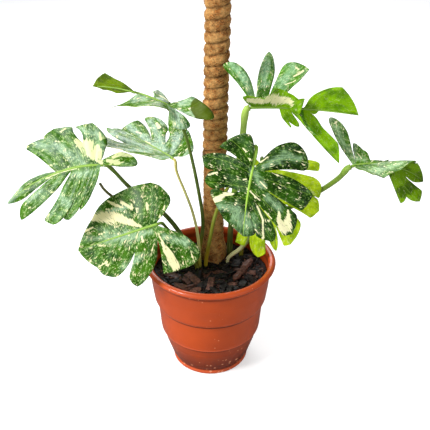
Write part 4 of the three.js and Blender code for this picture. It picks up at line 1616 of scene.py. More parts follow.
MIDDLE_LEFT = LeafSpec(
    name="leaf_middle_left",
    base=(-71, 10, 450), pose=(134, 5, -6), length=147,
    sweep=-2, fold=8,
    roots=(0, 0.08, 0.3, 0.5), tip_from=0.66, back=(0.61, 0.1),
    right=(
        Lobe(98, 50, rise=4, droop=-14, split=0.17, gap=(0.09, 0.13), ease=(0.94, 0.68), bend=24),
        Lobe(
            62, 107, rise=1, droop=-3, split=0.72, gap=(0.15, 0.08), ease=(0.87, 0.54), bend=6,
            holes=((0.28, 0.6, 0.2),),
        ),
        Lobe(34, 102, rise=5, droop=-3, split=0.18, gap=(0, 0.27), ease=(0.89, 0.41), bend=49),
        Lobe(28, 77, rise=-5, droop=-9, bend=7),
    ),
    left=(
        Lobe(75, 24, rise=-2, bend=0),
        Lobe(45, 121, rise=2, droop=-5, split=0.08, gap=(0, 0.26), ease=(0.95, 0.38), bend=11),
        Lobe(16, 116, rise=-2, droop=-9, split=0.13, gap=(0.11, 0.1), ease=(0.77, 0.89)),
        Lobe(11, 85, rise=5, bend=1),
    ),
    finish=BladeFinish(
        silver_and_glare=srgb(196, 222, 210), marble=0.6, flecks=0.28, dashes=0.22,
        creams=(
            ((97, 50, 6), (84, 44, 6.8)),
            ((116, 12, 3), (104, 13, 4)),
            ((66, -65, 4), (80, -74, 4)),
            ((80, 3, 2), (33, -1, 2)),
        ),
        # Painted glare strokes.
        glare_strokes=(
            ((134, -38, 18), (49, -12, 24)),
            ((142, 16, 16), (33, -1, 18)),
            ((114, 48, 16), (26, 5, 16)),
            ((77, -72, 16), (37, -21, 14)),
            ((39, 51, 14), (9, 9, 12)),
        ),
    ),
)

UPPER_RIGHT = LeafSpec(
    name="leaf_upper_right",
    base=(74, 10, 548), pose=(-3, 2, 0), length=186,
    arch=8, sweep=9, twist=-45, fold=36,
    roots=(0, 0.08, 0.16, 0.28, 0.38, 0.55), tip_from=0.66, back=(0.26, 0.1),
    right=(
        Lobe(105, 54, rise=2, droop=-4, bend=10),
        Lobe(80, 40, rise=1, droop=4, bend=3),
        Lobe(75, 47, rise=17, droop=-8, bend=17),
        Lobe(52, 44, rise=-8, droop=-5, split=0.7, gap=(0.18, 0.7), ease=(0.95, 0.5), bend=-4),
        Lobe(52, 61, rise=-99, droop=-2, split=0.05, gap=(0.57, 0.16), ease=(0.95, 0.7), bend=21),
        Lobe(50, 77, rise=15, droop=17, bend=50),
    ),
    left=(
        Lobe(123, 92, rise=51, droop=-5, split=0.13, gap=(0.43, 0.62), ease=(0.4, 0.54), bend=-25),
        Lobe(84, 145, rise=-8, droop=-2, split=0.09, gap=(0.51, 0), ease=(0.55, 0.64), bend=0),
        Lobe(47, 104, rise=12, droop=-3, split=0.05, gap=(0.05, 0.2), ease=(0.95, 0.65), bend=23),
        Lobe(63, 27, rise=-124, droop=-5, split=0.14, gap=(0.34, 0.48), ease=(0.45, 0.66), bend=25),
        Lobe(46, 130, rise=-124, split=0.26, gap=(0, 0.05), ease=(0.92, 0.7), bend=-16),
        Lobe(27, 63, rise=-4, droop=-5, bend=18),
    ),
    finish=BladeFinish(
        deep=srgb(36, 92, 0), fresh=srgb(86, 142, 14), dew=srgb(166, 206, 110),
        silver_and_glare=srgb(172, 214, 176), lime=srgb(120, 168, 0), olive=srgb(82, 128, 0),
        marble=0.3, flecks=0.32, dashes=0.2,
        creams=(
            ((72, -61, 2.4), (82, -67, 4.4), (89, -72, 4)),
            ((-2, 33, 20), (17, 28, 28), (39, 20, 24), (62, 24, 16)),
            ((57, -44, 2), (75, -52, 2)),
        ),
        # Painted glare strokes.
        glare_strokes=(
            ((-35, -76, 16), (-12, -47, 18), (2, -25, 14)),
            ((25, -123, 16), (21, -54, 16)),
            ((72, -77, 20), (49, -43, 20)),
            ((101, 12, 12), (118, -26, 12)),
        ),
    ),
)

RIGHT = LeafSpec(
    name="leaf_right",
    base=(258, -20, 448), pose=(8, 9, 16), length=153,
    arch=50, sweep=14, twist=-75, fold=18,
    roots=(0, 0.08, 0.3, 0.45, 0.52), tip_from=0.62, back=(0.1, 1.3),
    right=(
        Lobe(92, 42, rise=15, droop=2, bend=9),
        Lobe(70, 64, rise=-12, droop=-5, bend=21),
        Lobe(63, 77, rise=13, droop=13, bend=12),
        Lobe(55, 48, rise=3, droop=4, bend=15),
        Lobe(54, 43, rise=4, droop=2, bend=19),
    ),
    left=(
        Lobe(85, 108, rise=2, droop=23, split=0.05, gap=(0.4, 0.11), ease=(0.85, 0.84), bend=19),
        Lobe(64, 42, rise=-13, droop=2, split=0.41, gap=(0.72, 0.29), ease=(0.73, 0.58), bend=0),
        Lobe(45, 39, rise=-24, droop=3, split=0.13, gap=(0.19, 0.72), ease=(0.9, 0.89), bend=12),
        Lobe(57, 79, rise=-102, droop=8, split=0.83, gap=(0.41, 0.12), ease=(0.84, 0.84), bend=-4),
        Lobe(39, 85, rise=-113, droop=5, split=0.34, gap=(0.29, 0.16), ease=(0.94, 0.77), bend=36),
    ),
    finish=BladeFinish(
        deep=srgb(34, 82, 0), fresh=srgb(80, 130, 10), dew=srgb(166, 200, 110),
        silver_and_glare=srgb(182, 214, 168), lime=srgb(106, 146, 0), olive=srgb(58, 90, 0),
        marble=0.4, flecks=0.28, dashes=0.24,
        creams=(
            ((7, -27, 2), (12, -17, 2)),
            ((17, -28, 2), (20, -14, 2)),
            ((-3, -103, 4), (2, -108, 4)),
        ),
        # Painted glare strokes.
        glare_strokes=(
            ((-4, -93, 14), (-5, -52, 14), (1, -32, 14)),
            ((4, -18, 16), (20, -14, 18)),
            ((7, 24, 16), (41, 45, 18), (63, 56, 10)),
        ),
    ),
)

FRONT_CENTRE = LeafSpec(
    name="leaf_front_centre",
    base=(72, -80, 470), pose=(243, -63, -25), length=117,
    sweep=-8, drop=3, blunt=0.78, bulge=0.2,
    roots=(0, 0.08, 0.28, 0.45), tip_from=0.62, back=(1.35, 1.1),
    right=(
        Lobe(130, 66, droop=10, split=0.3, gap=(0.11, 0.35), ease=(0.94, 0.6), bend=40),
        Lobe(99, 91, droop=10, split=0.89, gap=(0.12, 0.21), ease=(0.95, 0.74), bend=29),
        Lobe(
            88, 76, droop=10, split=0.9, gap=(0.05, 0.1), ease=(0.8, 0.9), bend=6,
            holes=((0.24, 0.72, 0.42),),
        ),
        Lobe(86, 62, droop=10, bend=28),
    ),
    left=(
        Lobe(108, 101, droop=10, split=0.2, gap=(0.44, 0.35), ease=(0.87, 0.45), bend=50),
        Lobe(82, 114, droop=10, split=0.3, gap=(0.18, 0.22), ease=(0.94, 0.88), bend=-1),
        Lobe(53, 112, droop=10, split=0.19, gap=(0.26, 0.13), ease=(0.95, 0.64), bend=16),
        Lobe(39, 87, droop=10, split=0.37, gap=(0.03, 0.02), ease=(0.9, 0.7), bend=7),
    ),
    finish=BladeFinish(
        deep=srgb(6, 30, 0), fresh=srgb(44, 88, 0), dew=srgb(126, 164, 76),
        silver_and_glare=srgb(160, 196, 154), marble=0.12, grain=0.6, flecks=0.22, dashes=0.2,
        rib=srgb(160, 204, 66), rib_width=0.2, rib_share=0.95, rib_reach=8.0,
        creams=(
            ((64, 56, 8), (59, 50, 10), (50, 38, 7), (47, 24, 2)),
            ((65, -58, 2.8), (79, -62, 8), (92, -72, 20)),
            ((60, -73, 3.2), (73, -77, 8), (90, -76, 20)),
            ((62, -19, 2.6), (83, -32, 3.2), (117, -38, 3.6)),
            ((68, -34, 2), (79, -48, 3)),
            ((35, 3, 1.8), (51, -22, 2.2)),
            ((19, -17, 1.8), (28, -30, 2.2)),
            ((21, 12, 2.4), (19, 7, 2.4)),
            ((23, 72, 2.8), (17, 58, 1.8)),
            ((-14, -11, 2), (-25, -21, 2.2)),
        ),
        # Painted glare strokes.
        glare_strokes=(
            ((83, 11, 28), (94, -5, 36)),
            ((-8, -16, 8), (-32, -48, 18), (-33, -76, 10)),
            ((4, 0, 12), (24, -22, 16)),
            ((41, -33, 12), (60, -59, 12)),
            ((71, 46, 14), (72, 16, 20)),
        ),
    ),
)

BEHIND_CENTRE = LeafSpec(
    name="leaf_behind_centre",
    base=(98, 40, 421), pose=(309, -74, -146), length=178,
    sweep=1,
    roots=(0, 0.08, 0.28, 0.45), tip_from=0.62, back=(0.31, 0.22),
    right=(
        Lobe(80, 112, split=0.14, gap=(0.37, 0.27), ease=(0.95, 0.83), bend=15),
        Lobe(64, 120, split=0.39, gap=(0, 0.13), ease=(0.95, 0.93), bend=5),
        Lobe(57, 119, split=0.27, gap=(0.49, 0), ease=(0.95, 0.84), bend=50),
        Lobe(19, 95, split=0.4, gap=(0.13, 0.22), ease=(0.95, 0.61), bend=8),
    ),
    left=(
        Lobe(135, 70, split=0.13, gap=(0.14, 0.48), ease=(0.85, 0.6), bend=15),
        Lobe(59, 30, split=0.36, gap=(0.2, 0.25), ease=(0.75, 0.77), bend=11),
        Lobe(39, 120, split=0.41, gap=(0.21, 0), ease=(0.95, 0.69), bend=19),
        Lobe(20, 111, split=0.36, gap=(0.13, 0.33), ease=(0.95, 0.62), bend=27),
    ),
    finish=BladeFinish(
        # A stronger painted backlight on this underside.
        lime=srgb(174, 200, 24), olive=srgb(124, 154, 0), backlight_glow=0.12,
    ),
)

LEAVES = (
    FRONT_LEFT, LEFT, UPPER_LEFT, MIDDLE_LEFT,
    UPPER_RIGHT, RIGHT, FRONT_CENTRE, BEHIND_CENTRE,
)


# The stems


@dataclass(frozen=True)
class StemSpec:
    """One leaf stem: its foot in the soil, its way and its radii."""

    name: str
    leaf: str
    slot: str
    foot: Pair
    way: tuple[Size, ...]
    radii: Size
    finish: StemFinish
    sheath: float = 1.15


PALE = StemFinish(srgb(168, 158, 52), srgb(222, 218, 142), srgb(190, 176, 96))
DARK = StemFinish(srgb(136, 128, 30), srgb(62, 84, 14), srgb(84, 114, 32))
BRIGHT = StemFinish(srgb(52, 62, 18), srgb(104, 140, 40), srgb(162, 194, 84), 0.5)
SHEATHED = StemFinish(srgb(236, 230, 176), srgb(96, 120, 30), srgb(142, 180, 66))
GOLDEN = StemFinish(srgb(186, 160, 30), srgb(112, 120, 20), srgb(140, 184, 50))
ROOT = StemFinish(srgb(70, 62, 34), srgb(66, 64, 36), srgb(92, 84, 48))

STEMS: tuple[StemSpec, ...] = (
    StemSpec(
        "petiole_front_left", "leaf_front_left", "petiole_pale", (-28, 6),
        ((-50, -4, 262), (-80, -30, 320)), (4.6, 3.2, 2.6), DARK,
    ),
    StemSpec(
        "petiole_left", "leaf_left", "petiole_dark", (-38, 20),
        ((-58, 26, 272), (-93, 30, 322), (-150, 16, 382)), (5.4, 4.4, 3.2), DARK,
    ),
    StemSpec(
        "petiole_upper_left", "leaf_upper_left", "petiole_dark", (-26, 33),
        ((-15, 28, 291), (-22, 2, 383), (-44, -20, 507)), (4.4, 3.4, 2.6), DARK,
    ),
    StemSpec(
        "petiole_middle_left", "leaf_middle_left", "petiole_pale", (-22, 18),
        ((-25, 20, 277), (-36, 17, 336), (-48, 13, 376), (-63, 5, 426)), (3.8, 2.8, 2.4), PALE,
    ),
    StemSpec(
        "petiole_upper_right", "leaf_upper_right", "petiole_bright", (40, 46),
        ((40, 42, 262), (47, 31, 370), (58, 17, 480)), (5, 6.2, 5.6), BRIGHT,
    ),
    StemSpec(
        "petiole_right", "leaf_right", "petiole_bright", (36, 32),
        ((61, 28, 240), (88, 29, 275), (120, 33, 307), (172, 44, 336), (218, 44, 366),
         (242, 12, 408)), (3.6, 4.8, 5.2), SHEATHED, 1.05,
    ),
    StemSpec(
        "petiole_front_centre", "leaf_front_centre", "petiole_bright", (-9, 18),
        ((-1, -2, 279), (11, -14, 347), (39, -30, 424), (70, -38, 486), (79, -54, 500)),
        (3.4, 3.6, 2.8), GOLDEN,
    ),
    StemSpec(
        "petiole_behind_centre", "leaf_behind_centre", "petiole_dark", (64, 56),
        ((73, 61, 262), (88, 66, 335), (98, 64, 400), (99, 56, 428)), (4.4, 3.6, 2.6), DARK,
    ),
)


def centripetal(points: Sequence[Any], samples: int) -> np.ndarray:
    """Evenly spaced points along a centripetal spline through the given ones.

    Args:
        points: The points that it passes.
        samples: How many points to return.

    Returns:
        The sampled points.
    """
    given = np.array(points, float)
    ends = [2 * given[0] - given[1], 2 * given[-1] - given[-2]]
    chain = np.vstack([[ends[0]], given, [ends[1]]])
    t = np.linspace(0, 1, 40, endpoint=False)[:, None]
    dense = []
    for k in range(len(given) - 1):
        p0, p1, p2, p3 = chain[k : k + 4]
        d0, d1, d2 = (
            max(np.linalg.norm(b - a) ** 0.5, 1e-4) for a, b in ((p0, p1), (p1, p2), (p2, p3))
        )
        m1 = ((p1 - p0) / d0 - (p2 - p0) / (d0 + d1) + (p2 - p1) / d1) * d1
        m2 = ((p2 - p1) / d1 - (p3 - p1) / (d1 + d2) + (p3 - p2) / d2) * d1
        dense.append(
            p1 + m1 * t + (3 * (p2 - p1) - 2 * m1 - m2) * t**2
            + (2 * (p1 - p2) + m1 + m2) * t**3
        )
    line = np.vstack([*dense, given[-1:]])
    gone = np.concatenate([[0], np.cumsum(np.linalg.norm(np.diff(line, axis=0), axis=1))])
    even = np.linspace(0, gone[-1], samples)
    return np.stack([np.interp(even, gone, line[:, k]) for k in range(3)], -1)


@dataclass
class Stem:
    """A tapered stem with a sheathed foot and a thicker knee under its blade.

    The sheath is how much wider the stem is at the soil, and the knee how much thicker it is
    just below its blade.
    """

    name: str
    material: bpy.types.Material
    sheath: float = 1.0
    knee: float = 0.0
    rings: int = 72
    sides: int = 14
    bury: float = 165.0
    upright: float = 188.0
    seam: float = 0.6
    sheath_ends: Pair = (0.08, 0.34)
    knee_place: float = 0.95
    knee_reach: float = 0.03

    def build(
        self, foot: Pair, way: Sequence[Any], ends: Sequence[Any], radii: Size
    ) -> bpy.types.Object:
        """Builds the stem.

        Args:
            foot: Where it stands in the soil.
            way: Points it passes.
            ends: Its last points.
            radii: Radius at the foot, half way and at the end.

        Returns:
            The stem's object.
        """
        low = [(*foot, z) for z in (self.bury, self.upright, SOIL_TOP + 8)]
        line = centripetal([*low, *way, *ends], self.rings)
        t = np.linspace(0, 1, self.rings)
        radius = np.interp(t, [0, 0.5, 1], radii)
        radius = radius * (1 + (self.sheath - 1) * (1 - smoothstep(*self.sheath_ends, t)))
        off_knee = (t - self.knee_place) / self.knee_reach
        radius = radius * (1 + self.knee * np.exp(-(off_knee**2)))
        made = mesh_object(self.name, *tube(line, radius, self.sides), [self.material])
        set_values(made, "way", np.repeat(t, self.sides))
        corners = np.empty(len(made.data.loops), np.int32)
        made.data.loops.foreach_get("vertex_index", corners)
        length = float(np.sum(np.linalg.norm(np.diff(line, axis=0), axis=1))) / 10
        around = corners % self.sides / self.sides * 2 * math.pi * radii[1] / 10
        skin = np.stack([t[corners // self.sides] * length, abs(around - self.seam)], -1)
        set_map(made, "skin", skin)
        return made


# The pole

POLE_MIDDLE = (4.5, 50.0)
POLE_LEAN = 0.0163


def pole_centre(z: float) -> Pair:
    """Middle of the leaning pole at a height."""
    return POLE_MIDDLE[0] + POLE_LEAN * (z - SOIL_TOP), POLE_MIDDLE[1]


def lumps(spot: Vector, layers: Sequence[Pair]) -> float:
    """Sum of noise layers at a place, each with its fineness and its height."""
    return sum(noise.noise(spot * fineness) * height for fineness, height in layers)


@dataclass
class CoirPole:
    """Coir sleeve: a felted mat below and wound rope above, covered in loose fibres."""

    top: float = 778.0
    foot: float = 190.0
    flare_top: float = 265.0
    flare_rise: float = 45.0
    rope_start: float = 420.0
    rope_rise: float = 16.0
    pitch: float = 20.0
    groove: float = 1.4
    bulge: float = 4.0
    roundness: float = 0.62
    mat_radius: float = 20.0
    foot_radius: float = 27.0
    bore: float = 9.4
    sides: int = 80
    row_step: float = 2.4
    bore_crest: float = 0.3
    tuft: Pair = (1.6, 13.0)
    tufts: tuple[Pair, ...] = ((2.3, 1.6), (6.0, 1.0))

    def roped(self, z: float) -> float:
        """Share of the rope in the surface at a height, 0 on the mat."""
        return min(max((z - self.rope_start) / self.rope_rise, 0.0), 1.0)

    def wrap(self, z: float, turn: float) -> float:
        """Place across the rope's turn, 0 in the groove and 1 on its top."""
        return abs(math.sin(math.pi * (z / self.pitch - turn / (2 * math.pi))))

    def radius(self, z: float, turn: float) -> float:
        """Radius of the coir at a height and a turn about the pole.

        Args:
            z: The height in millimetres.
            turn: The turn about the pole in radians.

        Returns:
            The radius in millimetres.
        """
        flare = min(max((self.flare_top - z) / self.flare_rise, 0.0), 1.0)
        flare = flare * flare * (3 - 2 * flare)
        smooth = self.mat_radius + (self.foot_radius - self.mat_radius) * flare
        rope = self.mat_radius - self.groove + self.bulge * self.wrap(z, turn) ** self.roundness
        return smooth + (rope - smooth) * self.roped(z)

    def build(self, material: bpy.types.Material) -> bpy.types.Object:
        """The sleeve's object.

        Args:
            material: The piece's material.

        Returns:
            The object.
        """
        points: list[Any] = []
        crests: list[float] = []
        round_share, height_share = self.tuft
        rows = int((self.top - self.foot) / self.row_step)
        for row in range(rows + 1):
            z = self.foot + (self.top - self.foot) * row / rows
            x, y = pole_centre(z)
            for side in range(self.sides):
                turn = 2 * math.pi * side / self.sides
                cos, sin = math.cos(turn), math.sin(turn)
                spot = Vector((cos * round_share, sin * round_share, z / height_share))
                reach = self.radius(z, turn) + lumps(spot, self.tufts)
                points.append((x + reach * cos, y + reach * sin, z))
                # Crest: 1 on the rope's top, low in its grooves, where the coir gets painted shade.
                crests.append(1 - self.roped(z) * (1 - self.wrap(z, turn)))
        for z in (self.top, self.foot):
            points += circle(self.bore, z, self.sides, pole_centre(z))
            # The bore's ends get a little painted shade.
            crests += [self.bore_crest] * self.sides
        faces = ring_faces(rows + 3, self.sides, closed=True)
        made = mesh_object("coir_sleeve", points, faces, [material])
        set_values(made, "tone", [0.0] * len(points))
        set_values(made, "crest", crests)
        return made


# Scattered shapes


class Scatter:
    """Geometry Nodes tree that spreads small shapes over a surface."""

    sizes = {
        "Density": 1000.0, "Gap": 0.004, "Smallest": 0.7, "Largest": 1.3, "Swing": 0.6,
        "Tilt": 0.3, "Sink": 0.0,
    }
    tone_seed = 7

    def __init__(self, name: str, shapes: bpy.types.Collection, lay: bool) -> None:
        """Builds the tree.

        Args:
            name: The tree's name.
            shapes: The shapes to spread.
            lay: True to turn each shape's X axis round the Z axis of the surface.
        """
        self.tree = bpy.data.node_groups.new(name, "GeometryNodeTree")
        face = self.tree.interface
        face.new_socket("Geometry", in_out="INPUT", socket_type="NodeSocketGeometry")
        for label, default in self.sizes.items():
            socket = face.new_socket(label, in_out="INPUT", socket_type="NodeSocketFloat")
            socket.default_value = default
        seed = face.new_socket("Seed", in_out="INPUT", socket_type="NodeSocketInt")
        seed.default_value = 1
        face.new_socket("Material", in_out="INPUT", socket_type="NodeSocketMaterial")
        face.new_socket("Geometry", in_out="OUTPUT", socket_type="NodeSocketGeometry")
        self._wire(shapes, lay)

    @staticmethod
    def _turned(wires: Wiring, given: Any, spread: Any, lay: bool) -> Any:
        """Rotation of each shape: with the surface or laid round it, then swung and tilted.

        Args:
            wires: The tree's wiring.
            given: The sockets of the tree's inputs.
            spread: The sockets of the spread points.
            lay: True to lay the shapes round the surface.

        Returns:
            The rotation's socket.
        """
        rotation = spread["Rotation"]
        if lay:
            level = wires.node(
                "ShaderNodeVectorMath", {0: spread["Normal"], 1: (0, 0, 1)},
                operation="CROSS_PRODUCT",
            ).outputs[0]
            upright = wires.node(
                "FunctionNodeAlignRotationToVector", {"Vector": spread["Normal"]}, axis="Z"
            ).outputs[0]
            rotation = wires.node(
                "FunctionNodeAlignRotationToVector", {"Rotation": upright, "Vector": level},
                axis="X", pivot_axis="Z",
            ).outputs[0]
        back_swing, back_tilt = wires.times(given["Swing"], -1.0), wires.times(given["Tilt"], -1.0)
        random = wires.node(
            "FunctionNodeRandomValue",
            {
                0: wires.join(back_tilt, back_tilt, back_swing),
                1: wires.join(given["Tilt"], given["Tilt"], given["Swing"]),
                "Seed": given["Seed"],
            },
            data_type="FLOAT_VECTOR",
        ).outputs[0]
        euler = wires.node("FunctionNodeEulerToRotation", {0: random}).outputs[0]
        return wires.node(
            "FunctionNodeRotateRotation", {0: rotation, 1: euler}, rotation_space="LOCAL"
        ).outputs[0]

    def _wire(self, shapes: bpy.types.Collection, lay: bool) -> None:
        """Links the tree's nodes.

        Args:
            shapes: The shapes to spread.
            lay: True to lay the shapes round the surface.
        """
        wires = Wiring(self.tree)
        given = wires.node("NodeGroupInput").outputs
        spread = wires.node(
            "GeometryNodeDistributePointsOnFaces",
            {
                "Mesh": given["Geometry"], "Distance Min": given["Gap"],
                "Density Max": given["Density"], "Seed": given["Seed"],
            },
            distribute_method="POISSON",
        ).outputs
        size = wires.node(
            "FunctionNodeRandomValue",
            {2: given["Smallest"], 3: given["Largest"], "Seed": given["Seed"]},
            data_type="FLOAT",
        ).outputs[1]
        kinds = wires.node(
            "GeometryNodeCollectionInfo", {0: shapes, 1: True, 2: True},
            transform_space="ORIGINAL",
        ).outputs[0]
        placed = wires.node(
            "GeometryNodeInstanceOnPoints",
            {
                "Points": spread["Points"], "Instance": kinds, "Pick Instance": True,
                "Rotation": self._turned(wires, given, spread, lay), "Scale": size,
            },
        ).outputs[0]
        sunk = wires.node(
            "GeometryNodeTranslateInstances",
            {"Instances": placed, "Translation": wires.join(0.0, 0.0, given["Sink"])},
        ).outputs[0]
        tone = wires.node(
            "FunctionNodeRandomValue", {"Seed": self.tone_seed}, data_type="FLOAT"
        ).outputs[1]
        named = wires.node(
            "GeometryNodeStoreNamedAttribute", {"Geometry": sunk, "Name": "tone", "Value": tone},
            data_type="FLOAT", domain="INSTANCE",
        ).outputs[0]
        real = wires.node("GeometryNodeRealizeInstances", {0: named}).outputs[0]
        skinned = wires.node(
            "GeometryNodeSetMaterial", {0: real, "Material": given["Material"]}
        ).outputs[0]
        wires.link(skinned, wires.node("NodeGroupOutput").inputs[0])

    def grow(self, name: str, ground: bpy.types.Object, **values: Any) -> bpy.types.Object:
        """Spreads the shapes over a copy of the ground and keeps only them.

        Args:
            name: The new piece's name.
            ground: The surface that carries them.
            values: The tree's inputs by name.

        Returns:
            The piece as a plain mesh.
        """
        made = scene_object(name, ground.data.copy())
        modifier = made.modifiers.new("spread", "NODES")
        modifier.node_group = self.tree
        for item in self.tree.interface.items_tree:
            if item.item_type == "SOCKET" and item.in_out == "INPUT" and item.name in values:
                modifier[item.identifier] = values[item.name]
        plain_mesh(made)
        return made


class Shapes:
    """The small shapes that are spread: bark chips and coir fibres."""

    chip_jitter = 0.11
    fibre_lengths = (9, 16)
    fibre_bow = 2.0
    fibre_radii = (0.12, 0.24, 0.24, 0.1)

    def __init__(self, seed: int) -> None:
        """Starts the seeded draw."""
        self.random = np.random.default_rng(seed)

    @staticmethod
    def _collect(name: str, made: list[bpy.types.Object]) -> bpy.types.Collection:
        """Puts shapes in a collection of their own, out of the scene.

        Args:
            name: The collection's name.
            made: The shapes.

        Returns:
            The collection.
        """
        kept = bpy.data.collections.new(name)
        for shape in made:
            bpy.context.scene.collection.objects.unlink(shape)
            kept.objects.link(shape)
        return kept

    def chips(self, name: str, least: Size, most: Size, count: int) -> bpy.types.Collection:
        """Rough splintered chips, long in X.

        Args:
            name: The collection's name.
            least: Smallest length, width and thickness in millimetres.
            most: Largest length, width and thickness in millimetres.
            count: How many different ones.

        Returns:
            The collection of chips.
        """
        made = []
        for k in range(count):
            work = bmesh.new()
            bmesh.ops.create_cube(work, size=1.0)
            bmesh.ops.subdivide_edges(work, edges=work.edges[:], cuts=1, use_grid_fill=True)
            sizes = self.random.uniform(least, most)
            points = []
            for vertex in work.verts:
                taper = 1 - 0.5 * abs(vertex.co.x) ** 1.5
                jitter = self.random.uniform(-self.chip_jitter, self.chip_jitter, 3)
                points.append((np.array(vertex.co) * [1, taper, taper] + jitter) * sizes)
            faces = [[v.index for v in f.verts] for f in work.faces]
            work.free()
            made.append(mesh_object(f"{name}_{k}", points, faces, smooth=False))
        return self._collect(name, made)

    def fibres(self, count: int = 6) -> bpy.types.Collection:
        """Thin bent three sided hairs, long in X.

        Args:
            count: How many to make.

        Returns:
            The collection of fibres.
        """
        made = []
        for k in range(count):
            length = self.random.uniform(*self.fibre_lengths)
            bow = self.random.uniform(-self.fibre_bow, self.fibre_bow, 2)
            t = np.linspace(-0.5, 0.5, len(self.fibre_radii))
            line = np.stack(
                [t * length, bow[0] * (t * 2) ** 2, abs(bow[1]) * (1 - (t * 2) ** 2) * 0.6], -1
            )
            made.append(mesh_object(f"fibre_{k}", *tube(line, np.array(self.fibre_radii), 3)))
        return self._collect("fibres", made)


# The pot and its soil


@dataclass
class Pot:
    """Turned nursery pot with eased corners, a rolled rim and drain holes."""

    segments: int = 144
    ease: float = 1.1
    ease_limit: float = 0.35
    floor: float = 5.0
    drain_holes: int = 6
    drain_ring: float = 48.0
    drain_radius: float = 6.0
    drain_sides: int = 32
    drill_heights: Size = (-4.0, 2.0, 9.0)
    profile: tuple[Pair, ...] = (
        (0, 0), (76, 0), (78.5, 2), (78.5, 6.5), (76.5, 9), (82, 20), (87.2, 37), (93.2, 56),
        (97, 77), (101.6, 80.5), (102.8, 88), (104.4, 110), (106, 130), (107.4, 146),
        (111.6, 149.5), (113.6, 155), (118.1, 190), (119.6, 225), (126, 225.3), (130, 231),
        (127, 235.6), (122.5, 237), (118, 235.4), (115.4, 230), (115, 190), (110.6, 157),
        (104.4, 148), (102.8, 130), (101.2, 110), (99.6, 88), (94, 76), (90.2, 57), (84.4, 39),
        (79.6, 23), (74, 11), (71, 5), (0, 5),
    )

    def eased(self) -> list[Pair]:
        """The profile's corners between its ends, each rounded in three points.

        Returns:
            The corners' points.
        """
        given = np.array(self.profile)
        made: list[Any] = []
        for before, corner, after in zip(given, given[1:], given[2:]):
            back, ahead = before - corner, after - corner
            start = corner + back * min(self.ease / np.linalg.norm(back), self.ease_limit)
            end = corner + ahead * min(self.ease / np.linalg.norm(ahead), self.ease_limit)
            made += [start, (start + end) / 4 + corner / 2, end]
        return made

    def build(self, material: bpy.types.Material) -> bpy.types.Object:
        """The pot's object.

        Args:
            material: The piece's material.

        Returns:
            The object.
        """
        rows = self.eased()
        count = self.segments
        points: list[Any] = [(0, 0, 0), (0, 0, self.floor)]
        for radius, z in rows:
            points += circle(radius, z, count)
        faces = ring_faces(len(rows), count, first=2)
        last = 2 + (len(rows) - 1) * count
        for k in range(count):
            faces.append([0, 2 + (k + 1) % count, 2 + k])
            faces.append([1, last + k, last + (k + 1) % count])
        made = mesh_object("nursery_pot", points, faces, [material])
        self._drill(made)
        return made

    def _drill(self, pot: bpy.types.Object) -> None:
        """Cuts the drain holes through the floor.

        Args:
            pot: The pot's object, cut in place.
        """
        cutters = []
        for k in range(self.drain_holes):
            turn = 2 * math.pi * (k + 0.5) / self.drain_holes
            x, y = self.drain_ring * math.cos(turn), self.drain_ring * math.sin(turn)
            line = np.array([(x, y, z) for z in self.drill_heights])
            bit = tube(line, np.full(len(line), self.drain_radius), self.drain_sides)
            cutters.append(mesh_object(f"drill_{k}", *bit))
            cut = pot.modifiers.new(f"hole_{k}", "BOOLEAN")
            cut.object = cutters[-1]
            cut.operation = "DIFFERENCE"
        plain_mesh(pot)
        for cutter in cutters:
            bpy.data.objects.remove(cutter)


